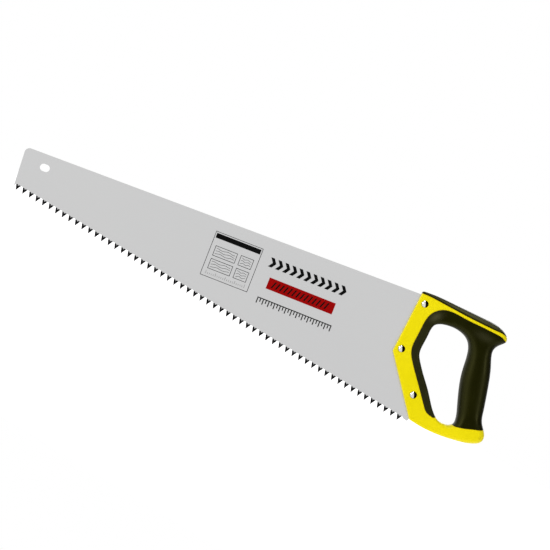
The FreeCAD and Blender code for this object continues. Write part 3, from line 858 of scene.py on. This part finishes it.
def sleeve_nut(name, centre):
    head = dome(HEAD_R, rise=1.8, rim=0.5) + [(HEAD_R, 0.12), (3.28, 0.0), (3.15, 0.0)]
    hexagon = [(HEX_R, -0.02), (HEX_R, -1.3), (HEX_R, -2.42)]
    sleeve = [
        (SLEEVE_R, -2.5), (SLEEVE_R, -7.0), (SLEEVE_R, -11.7), (2.2, -12.0), (1.9, -12.0),
        (SLEEVE_BORE_R, -11.75), (SLEEVE_BORE_R, -7.0), (SLEEVE_BORE_R, -1.9), (0.0, -1.3),
    ]
    hex_rows = range(len(head), len(head) + len(hexagon))

    def shape(i, radius, height, angle):
        if i in hex_rows:
            from_flat = (angle % (math.pi / 3)) - math.pi / 6
            return HEX_R / math.cos(from_flat), height
        return radius, height

    obj = lathe(name, head + hexagon + sleeve, segments=96, shape=shape)
    place(obj, centre, side=-1)
    return obj


def boolean_cut(obj, cutter):
    modifier = obj.modifiers.new("cut", "BOOLEAN")
    modifier.operation = "DIFFERENCE"
    modifier.solver = "EXACT"
    modifier.object = cutter
    graph = bpy.context.evaluated_depsgraph_get()
    mesh = bpy.data.meshes.new_from_object(obj.evaluated_get(graph))
    obj.modifiers.clear()
    old = obj.data
    obj.data = mesh
    mesh.name = obj.name
    bpy.data.meshes.remove(old)
    bpy.data.objects.remove(cutter)


def cross_cutter(head_top):
    """Tapered cross, wide at the mouth."""
    # (height, half length of an arm, half width of an arm)
    sections = (
        (head_top + 0.6, CROSS_REACH * 1.12, CROSS_WIDTH * 1.08),
        (head_top - CROSS_DEPTH * 0.55, CROSS_REACH * 0.72, CROSS_WIDTH * 0.86),
        (head_top - CROSS_DEPTH, CROSS_REACH * 0.34, CROSS_WIDTH * 0.62),
    )
    shape = bmesh.new()
    layers = []
    for z, arm, half in sections:
        outline = [
            (arm, half), (half, half), (half, arm), (-half, arm), (-half, half), (-arm, half),
            (-arm, -half), (-half, -half), (-half, -arm), (half, -arm), (half, -half), (arm, -half),
        ]
        layers.append([shape.verts.new((x * MM, y * MM, z * MM)) for x, y in outline])
    for upper, lower in zip(layers[:-1], layers[1:]):
        for k in range(12):
            j = (k + 1) % 12
            shape.faces.new((upper[k], upper[j], lower[j], lower[k]))
    shape.faces.new(layers[0])
    shape.faces.new(layers[-1])
    return outward_object("cutter", bpy.data.meshes.new("cutter"), shape)


def screw(name, centre):
    """Pan head, cross recess and a helical thread."""
    profile = SCREW_HEAD + SCREW_NECK
    start = len(profile)
    for k in range(THREAD_ROWS + 1):
        # shape() below replaces this radius
        profile.append((THREAD_CREST, THREAD_TOP + (THREAD_TIP - THREAD_TOP) * k / THREAD_ROWS))
    profile += SCREW_TIP

    def shape(i, radius, height, angle):
        row = i - start
        if not 0 <= row <= THREAD_ROWS:
            return radius, height
        to_tip = (THREAD_ROWS - row) / 9.0
        turn = ((height / PITCH) - angle / (2 * math.pi)) % 1.0
        ridge = min(1.0, max(0.0, (abs(turn * 2 - 1) - 0.12) / 0.76))
        fade = min(1.0, row / 10.0, to_tip)
        thread = THREAD_ROOT + (THREAD_CREST - THREAD_ROOT) * ridge * fade
        run_out = (1.5 - THREAD_ROOT) * (1 - fade) * 0.5
        return thread + run_out - 0.16 * max(0, 1 - to_tip), height

    obj = lathe(name, profile, segments=64, shape=shape)
    boolean_cut(obj, cross_cutter(head_top=SCREW_HEAD[0][1]))
    smooth(obj.data, sharp_from=35)
    place(obj, centre, side=1)
    return obj


nuts, screws = {}, {}
for which, bolt_centre in BOLTS.items():
    nuts[which] = sleeve_nut(which + "_domed_nut", bolt_centre)
    screws[which] = screw(which + "_threaded_screw", bolt_centre)

# ---- Print on the blade's -Y face: plain marks, no words ---------------------------------------

INK_BACK_Y, INK_FRONT_Y = -0.498, -0.512
PRINT_TURN = 9.5  # degrees
EMBLEM_TURN = 9.9
GAP = 0.01  # tiles stop this far short of each other, so that no two share an edge
RED_BAR_CENTRE = (-146.0, 55.3)

# Emblem: half its width and height, its thin lines, and its two boards cut by a gap
EMBLEM_HALF_W, EMBLEM_HALF_H = 25.3, 23.2
FINE_LINE = 0.55
BOARD_HALF_W = 20.5
BOARD_GAP = (3.2, 6.6)
BOARD_ROWS = ((-1.2, 9.4), (-14.8, -4.2))  # (bottom, top)
GRAIN_INSET = 1.8
TICK_BASE = -20.4

# Shapes as (u, v) from their own left end, and the scale's measures
CHEVRON = [(-0.9, 4.9), (2.9, 4.9), (6.3, 0.0), (2.9, -4.9), (-0.9, -4.9), (2.5, 0.0)]
SLANT = [(0.0, -3.4), (1.5, -3.4), (4.1, 3.4), (2.6, 3.4)]
SCALE_HALF = 39.2
SCALE_LINE_V = 1.8
SCALE_MARKS = 27


def print_piece(name, polygons, centre, turn=PRINT_TURN, lift=0.0):
    """Each (u, v) polygon about the centre becomes one very thin closed tile of ink."""
    cosine, sine = math.cos(math.radians(turn)), math.sin(math.radians(turn))
    shape = bmesh.new()
    for polygon in polygons:
        area = sum(
            u0 * v1 - u1 * v0 for (u0, v0), (u1, v1) in zip(polygon, polygon[1:] + polygon[:1])
        )
        front, back = [], []
        for u, v in (polygon[::-1] if area < 0 else polygon):
            x = (centre[0] + u * cosine - v * sine) * MM
            z = (centre[1] + u * sine + v * cosine + RISE) * MM
            front.append(shape.verts.new((x, (INK_FRONT_Y - lift) * MM, z)))
            back.append(shape.verts.new((x, (INK_BACK_Y - lift) * MM, z)))
        shape.faces.new(front)
        shape.faces.new(back[::-1])
        for k in range(len(polygon)):
            j = (k + 1) % len(polygon)
            shape.faces.new((front[j], front[k], back[k], back[j]))
    return outward_object(name, bpy.data.meshes.new(name), shape)


def rect(u0, v0, u1, v1):
    return [(u0, v0), (u1, v0), (u1, v1), (u0, v1)]


def box(u0, v0, u1, v1):
    """Four thin lines round a rectangle."""
    low, high = v0 + FINE_LINE + GAP, v1 - FINE_LINE - GAP
    return [
        rect(u0, v1 - FINE_LINE, u1, v1), rect(u0, v0, u1, v0 + FINE_LINE),
        rect(u0, low, u0 + FINE_LINE, high), rect(u1 - FINE_LINE, low, u1, high),
    ]


def stroke(points, width):
    """A broken line, one quadrilateral for each straight part."""
    parts = []
    for (u0, v0), (u1, v1) in zip(points[:-1], points[1:]):
        length = math.hypot(u1 - u0, v1 - v0)
        nu, nv = -(v1 - v0) / length * width / 2, (u1 - u0) / length * width / 2
        parts.append([
            (u0 + nu, v0 + nv), (u0 - nu, v0 - nv), (u1 - nu, v1 - nv), (u1 + nu, v1 + nv),
        ])
    return parts


def shifted(polygon, by):
    return [(by + u, v) for u, v in polygon]


def board(left, bottom, right, top_v):
    """An outlined board with three wavy grain lines."""
    tiles = box(left, bottom, right, top_v)
    length = right - left - 2 * GRAIN_INSET
    for line in range(3):
        middle = bottom + 2.9 + line * 2.45
        points = [
            (left + GRAIN_INSET + length * k / 14,
             middle + 0.5 * math.sin(k * 0.75 + line * 1.3 + bottom))
            for k in range(15)
        ]
        tiles += stroke(points, width=0.42)
    return tiles


def emblem_tiles():
    """A frame with a solid band at the top, two rows of boards and a row of ticks."""
    width, height = EMBLEM_HALF_W, EMBLEM_HALF_H
    tiles = box(-width, -height, width, height)
    tiles.append(rect(-width + 1.6, 16.6, width - 1.6, height - 1.6))
    for bottom, top_v in BOARD_ROWS:
        for left, right in ((-BOARD_HALF_W, BOARD_GAP[0]), (BOARD_GAP[1], BOARD_HALF_W)):
            tiles += board(left, bottom, right, top_v)
    for k in range(21):
        u = -BOARD_HALF_W + k * 2.05
        tall = 3.4 if k % 5 == 0 else 1.9
        tiles.append(rect(u - 0.14, TICK_BASE, u + 0.14, TICK_BASE + tall))
    return tiles


def scale_tiles():
    tiles = [rect(-39.8, SCALE_LINE_V, 39.8, 2.8)]
    for k in range(SCALE_MARKS):
        u = -SCALE_HALF + k * (2 * SCALE_HALF) / (SCALE_MARKS - 1)
        tall = 5.4 if k % 2 == 0 else 3.4
        tiles.append(rect(u - 0.55, SCALE_LINE_V - tall, u + 0.55, SCALE_LINE_V - GAP))
    return tiles


emblem = print_piece("print_emblem", emblem_tiles(), centre=(-222.9, 49.1), turn=EMBLEM_TURN)
chevrons = print_piece(
    "print_chevrons", [shifted(CHEVRON, -40.6 + k * 7.55) for k in range(11)],
    centre=(-149.4, 75.4),
)
red_bar = print_piece("print_red_bar", [rect(-35.5, -5.9, 35.5, 5.9)], centre=RED_BAR_CENTRE)
bar_marks = print_piece(
    "print_bar_marks", [shifted(SLANT, u) for u in np.arange(-31.0, 27.5, 4.35)],
    centre=RED_BAR_CENTRE, lift=0.012,
)
scale = print_piece("print_scale", scale_tiles(), centre=(-142.9, 36.6))


# ---- Materials ---------------------------------------------------------------------------------

class Tree:
    """A short way to write a node tree."""

    def __init__(self, owner):
        owner.use_nodes = True
        self.tree = owner.node_tree
        self.tree.nodes.clear()

    def add(self, kind, inputs=None, **props):
        node = self.tree.nodes.new(kind)
        for key, value in props.items():
            setattr(node, key, value)
        for key, value in (inputs or {}).items():
            self.put(node.inputs[key], value)
        return node

    def put(self, socket, value):
        """Link a socket to an output, or give it a fixed value."""
        if isinstance(value, bpy.types.NodeSocket):
            self.tree.links.new(value, socket)
        else:
            socket.default_value = value


class Material(Tree):
    """A material with one Principled shader."""

    def __init__(self, name):
        self.material = bpy.data.materials.new(name)
        super().__init__(self.material)
        output = self.add("ShaderNodeOutputMaterial")
        self.shader = self.add("ShaderNodeBsdfPrincipled")
        self.put(output.inputs[0], self.shader.outputs[0])

    def coords(self, scale=(1, 1, 1)):
        place_node = self.add("ShaderNodeTexCoord")
        inputs = {"Scale": scale, "Vector": place_node.outputs["Object"]}
        return self.add("ShaderNodeMapping", inputs).outputs[0]

    def noise(self, vector, scale, detail=2.0, rough=0.5):
        inputs = {"Vector": vector, "Scale": scale, "Detail": detail, "Roughness": rough}
        return self.add("ShaderNodeTexNoise", inputs).outputs["Fac"]

    def math(self, operation, first, second=0.0, third=0.0):
        inputs = {0: first, 1: second, 2: third}
        return self.add("ShaderNodeMath", inputs, operation=operation).outputs[0]

    def times(self, first, second):
        return self.math("MULTIPLY", first, second)

    def plus(self, first, second):
        return self.math("ADD", first, second)

    def span(self, value, source, result=(0.0, 1.0)):
        """Map the source range on to the result range."""
        inputs = {
            "Value": value, "From Min": source[0], "From Max": source[1],
            "To Min": result[0], "To Max": result[1],
        }
        return self.add("ShaderNodeMapRange", inputs).outputs["Result"]

    def mix(self, factor, first, second):
        """Blend two colours; factor 1 gives the second."""
        def colour(value):
            return value if isinstance(value, bpy.types.NodeSocket) else (*value, 1.0)

        inputs = {"Factor": factor, 6: colour(first), 7: colour(second)}
        return self.add("ShaderNodeMix", inputs, data_type="RGBA").outputs[2]

    def bump(self, height, distance, strength, normal=None):
        inputs = {"Strength": strength, "Distance": distance, "Height": height}
        if normal is not None:
            inputs["Normal"] = normal
        return self.add("ShaderNodeBump", inputs).outputs[0]

    def attribute(self, name):
        return self.add("ShaderNodeAttribute", attribute_name=name).outputs["Fac"]

    def axes(self, vector):
        return self.add("ShaderNodeSeparateXYZ", {0: vector}).outputs

    def set(self, **values):
        """Give the shader's inputs, with underscores for spaces."""
        for key, value in values.items():
            self.put(self.shader.inputs[key.replace("_", " ")], value)


MIDDLE = (0.3, 0.7)  # the part of a noise's range in which most of it lies


def yellow_plastic():
    m = Material("yellow_moulded_plastic")
    where = m.coords()
    cloud = m.noise(where, scale=28.0, detail=3.0)
    fine = m.noise(where, scale=2300.0)
    grain = m.noise(where, scale=900.0, detail=3.0, rough=0.6)
    joint, rim = m.attribute("joint_line"), m.attribute("rim")
    base = m.mix(
        m.span(cloud, source=(0.35, 0.65)),
        first=(0.668, 0.565, 0.0015), second=(0.692, 0.583, 0.003),
    )
    # darker along the joints; paler at the edges, a painted highlight on the rounded edges
    base = m.mix(m.times(joint, 0.55), base, second=(0.50, 0.325, 0.002))
    base = m.mix(m.times(rim, 0.10), base, second=(0.80, 0.72, 0.08))
    # faint handling marks
    scuff = m.noise(m.coords(scale=(1.0, 1.0, 4.0)), scale=160.0, detail=5.0, rough=0.7)
    mark = m.span(scuff, source=(0.62, 0.72))
    base = m.mix(m.times(mark, 0.05), base, second=(0.45, 0.36, 0.025))
    rough = m.plus(m.span(grain, source=MIDDLE, result=(0.36, 0.46)), m.times(mark, 0.08))
    height = m.plus(m.times(fine, 0.6), m.times(grain, 0.6))
    m.set(
        Base_Color=base, Roughness=rough, Normal=m.bump(height, distance=0.00006, strength=0.35),
        IOR=1.49, Specular_IOR_Level=0.30, Specular_Tint=(1.0, 0.88, 0.10, 1.0),
    )
    return m.material


def soft_black():
    m = Material("soft_black_elastomer")
    where = m.coords()
    cloud = m.noise(where, scale=34.0, detail=4.0, rough=0.55)
    fine = m.noise(where, scale=1500.0, detail=3.0, rough=0.6)
    cells = m.add(
        "ShaderNodeTexVoronoi", {"Vector": where, "Scale": 1250.0}, feature="SMOOTH_F1",
    )
    joint = m.attribute("joint_line")
    base = m.mix(
        m.span(cloud, source=MIDDLE),
        first=(0.0040, 0.0042, 0.0001), second=(0.0076, 0.0079, 0.0005),
    )
    base = m.mix(m.times(joint, 0.7), base, second=(0.004, 0.0036, 0.001))
    # dust that settles in the grain
    dust = m.span(m.noise(where, scale=95.0, detail=5.0, rough=0.65), source=(0.56, 0.75))
    base = m.mix(m.times(dust, 0.14), base, second=(0.036, 0.035, 0.012))
    # painted highlight: greyed where the attribute marks the piece, a little patchy
    painted_highlight = m.attribute("painted_highlight")
    patches = m.noise(where, scale=210.0, detail=4.0, rough=0.6)
    patchy_painted_highlight = m.times(painted_highlight, m.span(patches, source=MIDDLE, result=(0.72, 1.0)))
    base = m.mix(patchy_painted_highlight, base, second=(0.056, 0.055, 0.026))
    rough = m.plus(m.span(cloud, source=MIDDLE, result=(0.35, 0.50)), m.times(dust, 0.1))
    height = m.plus(m.times(cells.outputs["Distance"], 0.9), m.times(fine, 0.5))
    m.set(
        Base_Color=base, Roughness=rough, Normal=m.bump(height, distance=0.00010, strength=0.38),
    )
    # painted sheen: the specular level is raised on the rounded flanks and lowered on the broad
    # faces, by how far the normal turns from the Y axis
    normal = m.axes(m.add("ShaderNodeNewGeometry").outputs["Normal"])
    broad = m.math("ABSOLUTE", normal["Y"])
    m.set(
        Specular_IOR_Level=m.span(broad, source=(0.86, 0.995), result=(0.215, 0.046)),
        Specular_Tint=(1.0, 0.99, 0.30, 1.0),
    )
    return m.material


def blade_steel():
    """Ground steel, with dark oxide on the bevels of the teeth."""
    m = Material("blade_steel_lacquered")
    height_z = m.axes(m.add("ShaderNodeTexCoord").outputs["Object"])["Z"]
    true_normal = m.add("ShaderNodeNewGeometry").outputs["True Normal"]
    normal = m.axes(true_normal)
    low = m.span(height_z, source=(0.00585, 0.0064), result=(1.0, 0.0))
    # the ground bevels are the low faces that look partly along the saw
    along_saw = m.math("ABSOLUTE", normal["X"])
    bevel = m.times(m.span(along_saw, source=(0.06, 0.12)), low)
    grind = m.noise(m.coords(scale=(14.0, 40.0, 1600.0)), scale=1.0, detail=4.0, rough=0.62)
    long_grind = m.noise(m.coords(scale=(3.0, 10.0, 420.0)), scale=1.0, detail=3.0)
    cloud = m.noise(m.coords(scale=(7.0, 7.0, 12.0)), scale=1.0, detail=3.0)
    steel = m.mix(
        m.span(cloud, source=MIDDLE), first=(0.612, 0.613, 0.616), second=(0.621, 0.621, 0.621),
    )
    grind_tint = m.span(grind, source=MIDDLE, result=(0.0, 0.10))
    steel = m.mix(grind_tint, steel, second=(0.542, 0.542, 0.547))
    long_tint = m.span(long_grind, source=(0.55, 0.8), result=(0.0, 0.05))
    steel = m.mix(long_tint, steel, second=(0.686, 0.686, 0.686))
    # a few hairline scratches along the stroke
    hair = m.noise(m.coords(scale=(9.0, 9.0, 2600.0)), scale=1.0, detail=1.0)
    hair = m.span(hair, source=(0.735, 0.76))
    steel = m.mix(m.times(hair, 0.12), steel, second=(0.86, 0.86, 0.86))
    speck = m.noise(m.coords(scale=(600.0, 600.0, 600.0)), scale=1.0)
    oxide = m.mix(
        m.span(speck, source=MIDDLE),
        first=(0.0035, 0.0035, 0.0038), second=(0.0085, 0.0085, 0.009),
    )
    base = m.mix(bevel, steel, oxide)
    ground = m.span(grind, source=(0.25, 0.75), result=(0.20, 0.27))
    rough = m.plus(ground, m.times(bevel, 0.25))
    height = m.plus(grind, m.times(long_grind, 0.5))
    m.set(
        Base_Color=base, Roughness=rough,
        Metallic=m.math("SUBTRACT", 1.0, m.times(bevel, 0.97)),
        Normal=m.bump(height, distance=0.000012, strength=0.25, normal=true_normal),
        Specular_IOR_Level=0.03, Anisotropic=0.2,
    )
    return m.material


def bright_plate():
    """Polished plate, with a painted reflection: its colour turns dark where it would mirror the
    right of the view, as from a black flag that is not in the scene.
    """
    m = Material("bright_nickel_plate")
    where = m.coords()
    ripple = m.noise(where, scale=3000.0)
    tone = m.noise(where, scale=300.0, detail=3.0)
    base = m.mix(
        m.span(tone, source=MIDDLE), first=(0.76, 0.75, 0.70), second=(0.69, 0.683, 0.645),
    )
    mirrored = m.add("ShaderNodeTexCoord").outputs["Reflection"]
    rightward = m.add(
        "ShaderNodeVectorMath", {0: mirrored, 1: VIEW_RIGHT}, operation="DOT_PRODUCT",
    )
    depth = m.math("ABSOLUTE", m.axes(mirrored)["Y"])
    # painted reflection: the dark edge bows a little, so the dark shape on a dome is a crescent
    edge = m.math("MULTIPLY_ADD", depth, -0.26, rightward.outputs["Value"])
    base = m.mix(m.span(edge, source=(-0.10, 0.03)), base, second=(0.006, 0.005, 0.004))
    m.set(
        Base_Color=base, Metallic=1.0,
        Roughness=m.span(tone, source=MIDDLE, result=(0.15, 0.15 + 0.06)),
        Normal=m.bump(ripple, distance=0.00001, strength=0.2),
    )
    return m.material


def ink(name, dark, light):
    m = Material(name)
    where = m.coords()
    speck = m.noise(where, scale=1800.0, detail=3.0, rough=0.6)
    wash = m.noise(where, scale=60.0)
    m.set(
        Base_Color=m.mix(m.span(wash, source=MIDDLE), dark, light),
        Roughness=m.span(speck, source=MIDDLE, result=(0.45, 0.6)),
        Normal=m.bump(speck, distance=0.000006, strength=0.3), Specular_IOR_Level=0.03,
    )
    return m.material


yellow, black_soft, steel_face, nickel = yellow_plastic(), soft_black(), blade_steel(), bright_plate()
black_ink = ink(
    "black_print_ink", dark=(0.0015, 0.0015, 0.0015), light=(0.003, 0.003, 0.003),
)
red_ink = ink("red_print_ink", dark=(0.225, 0.0002, 0.0002), light=(0.243, 0.0006, 0.0004))

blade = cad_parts["blade"]
for material_slot in blade.material_slots:
    material_slot.material = steel_face
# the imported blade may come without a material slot
if not blade.material_slots:
    blade.data.materials.append(steel_face)


# ---- Each piece's material, and what it rides on, replaces and takes as its slot ---------------

def fit(obj, material, rides="saw", replaces=None):
    obj.data.materials.clear()
    obj.data.materials.append(material)
    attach(obj, rides)
    if replaces:
        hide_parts(replaces)


fit(core, yellow, replaces="handle_core")
fit(grip, black_soft, replaces="grip_overmould")
fit(top, black_soft, replaces="top_overmould")
for which in BOLTS:
    fit(nuts[which], nickel, replaces=which + "_sleeve_nut")
    fit(
        screws[which], nickel,
        rides=which + "_bolt", replaces=which + "_screw",
    )
for mark_piece in (emblem, chevrons, red_bar, bar_marks, scale):
    fit(mark_piece, red_ink if mark_piece is red_bar else black_ink)

# ---- Studio: pale floor, soft light, camera; in metres -----------------------------------------

AIM = Vector((-0.17885, 0.0, 0.06142))
HANDLE_MIDDLE = Vector((0.02, 0.0, 0.0715))
VIEW_WIDTH = 0.550  # width of the view at the saw
FLOOR_RADIUS = 2.2
FLOOR_Z = -0.012
ROOM_LIGHT = 0.56  # strength for diffuse light
GLOSSY_LIGHT = 0.98  # strength of the bright side in reflections
BACKDROP_LIGHT = 1.0  # strength seen by the camera


def studio_world():
    """Reflections see a bright room on the left and a dark one on the right, from either face."""
    world = bpy.data.worlds.new("studio")
    scene.world = world
    w = Tree(world)
    output = w.add("ShaderNodeOutputWorld")
    path = w.add("ShaderNodeLightPath")
    # Incoming points back towards the eye, so it is turned against the ray's own direction
    incoming = w.add("ShaderNodeNewGeometry").outputs["Incoming"]
    leftward = w.add(
        "ShaderNodeVectorMath", {0: incoming, 1: VIEW_RIGHT * 0.985}, operation="DOT_PRODUCT",
    )
    axes = w.add("ShaderNodeSeparateXYZ", {0: incoming})
    depth = w.add("ShaderNodeMath", {0: axes.outputs["Y"]}, operation="ABSOLUTE")
    tilted = w.add(
        "ShaderNodeMath", {0: depth.outputs[0], 1: 0.174, 2: leftward.outputs["Value"]},
        operation="MULTIPLY_ADD",
    )
    side = w.add(
        "ShaderNodeMapRange",
        {
            "Value": tilted.outputs[0], "From Min": -0.62, "From Max": -0.30,
            "To Min": 0.06, "To Max": 1.0,
        },
        interpolation_type="SMOOTHSTEP",
    )
    glossy = w.add(
        "ShaderNodeMath", {0: side.outputs["Result"], 1: GLOSSY_LIGHT}, operation="MULTIPLY",
    )
    unseen = w.add(
        "ShaderNodeMix",
        {0: path.outputs["Is Glossy Ray"], 2: ROOM_LIGHT, 3: glossy.outputs[0]},
    )
    strength = w.add(
        "ShaderNodeMix",
        {0: path.outputs["Is Camera Ray"], 2: unseen.outputs[0], 3: BACKDROP_LIGHT},
    )
    background = w.add(
        "ShaderNodeBackground", {"Color": (1, 1, 1, 1), "Strength": strength.outputs[0]},
    )
    w.put(output.inputs[0], background.outputs[0])


def area_light(name, at, size, power):
    """A round light aimed at the middle of the handle."""
    data = bpy.data.lights.new(name, "AREA")
    data.shape = "DISK"
    data.size = size
    data.energy = power
    obj = link_object(name, data)
    obj.location = at
    obj.rotation_euler = (HANDLE_MIDDLE - at).to_track_quat("-Z", "Y").to_euler()
    obj.visible_camera = False


def studio_lights():
    up_left = (-VIEW_RIGHT * 0.85 + VIEW_UP * 0.5) * 2.2
    area_light(
        "key_soft_box", at=HANDLE_MIDDLE + up_left + Vector((0, -1.9, 0)), size=0.7, power=24.0,
    )
    area_light(
        "top_strip_light", at=HANDLE_MIDDLE + VIEW_UP * 1.5 + Vector((0.0, -0.55, 0)),
        size=0.35, power=9.0,
    )
    area_light(
        "right_edge_light",
        at=HANDLE_MIDDLE + VIEW_RIGHT * 1.5 - VIEW_UP * 0.2 + Vector((0.0, -0.8, 0)),
        size=0.3, power=4.0,
    )
    area_light("far_side_fill", at=Vector((0.3, 1.6, 0.9)), size=0.8, power=6.0)


def studio_floor():
    bpy.ops.mesh.primitive_circle_add(
        vertices=128, radius=FLOOR_RADIUS, fill_type="NGON", location=(AIM.x, 0, FLOOR_Z),
    )
    floor = bpy.context.object
    floor.name = "pale_floor"
    m = Material("pale_floor")
    tone = m.noise(m.coords(), scale=3.0)
    base = m.mix(
        m.span(tone, source=MIDDLE), first=(0.93, 0.93, 0.93), second=(0.95, 0.95, 0.95),
    )
    m.set(
        Base_Color=base, Roughness=0.9, Specular_IOR_Level=0.0,
        Emission_Color=(1, 1, 1, 1), Emission_Strength=0.5,
    )
    floor.data.materials.append(m.material)
    floor.visible_glossy = False


def studio_camera():
    data = bpy.data.cameras.new("camera")
    data.sensor_width = 36.0
    data.lens = 200.0
    data.clip_end = 20.0
    camera = link_object("camera", data)
    back = VIEW_RIGHT.cross(VIEW_UP)
    turn = Matrix((VIEW_RIGHT, VIEW_UP, back)).transposed()
    distance = VIEW_WIDTH * data.lens / data.sensor_width
    camera.matrix_world = Matrix.Translation(AIM + back * distance) @ turn.to_4x4()
    scene.camera = camera


studio_world()
studio_lights()
studio_floor()
studio_camera()
scene.view_settings.view_transform = "Standard"
scene.view_settings.look = "None"
scene.view_settings.exposure = 0.0
scene.view_settings.gamma = 1.0


bpy.context.view_layer.update()
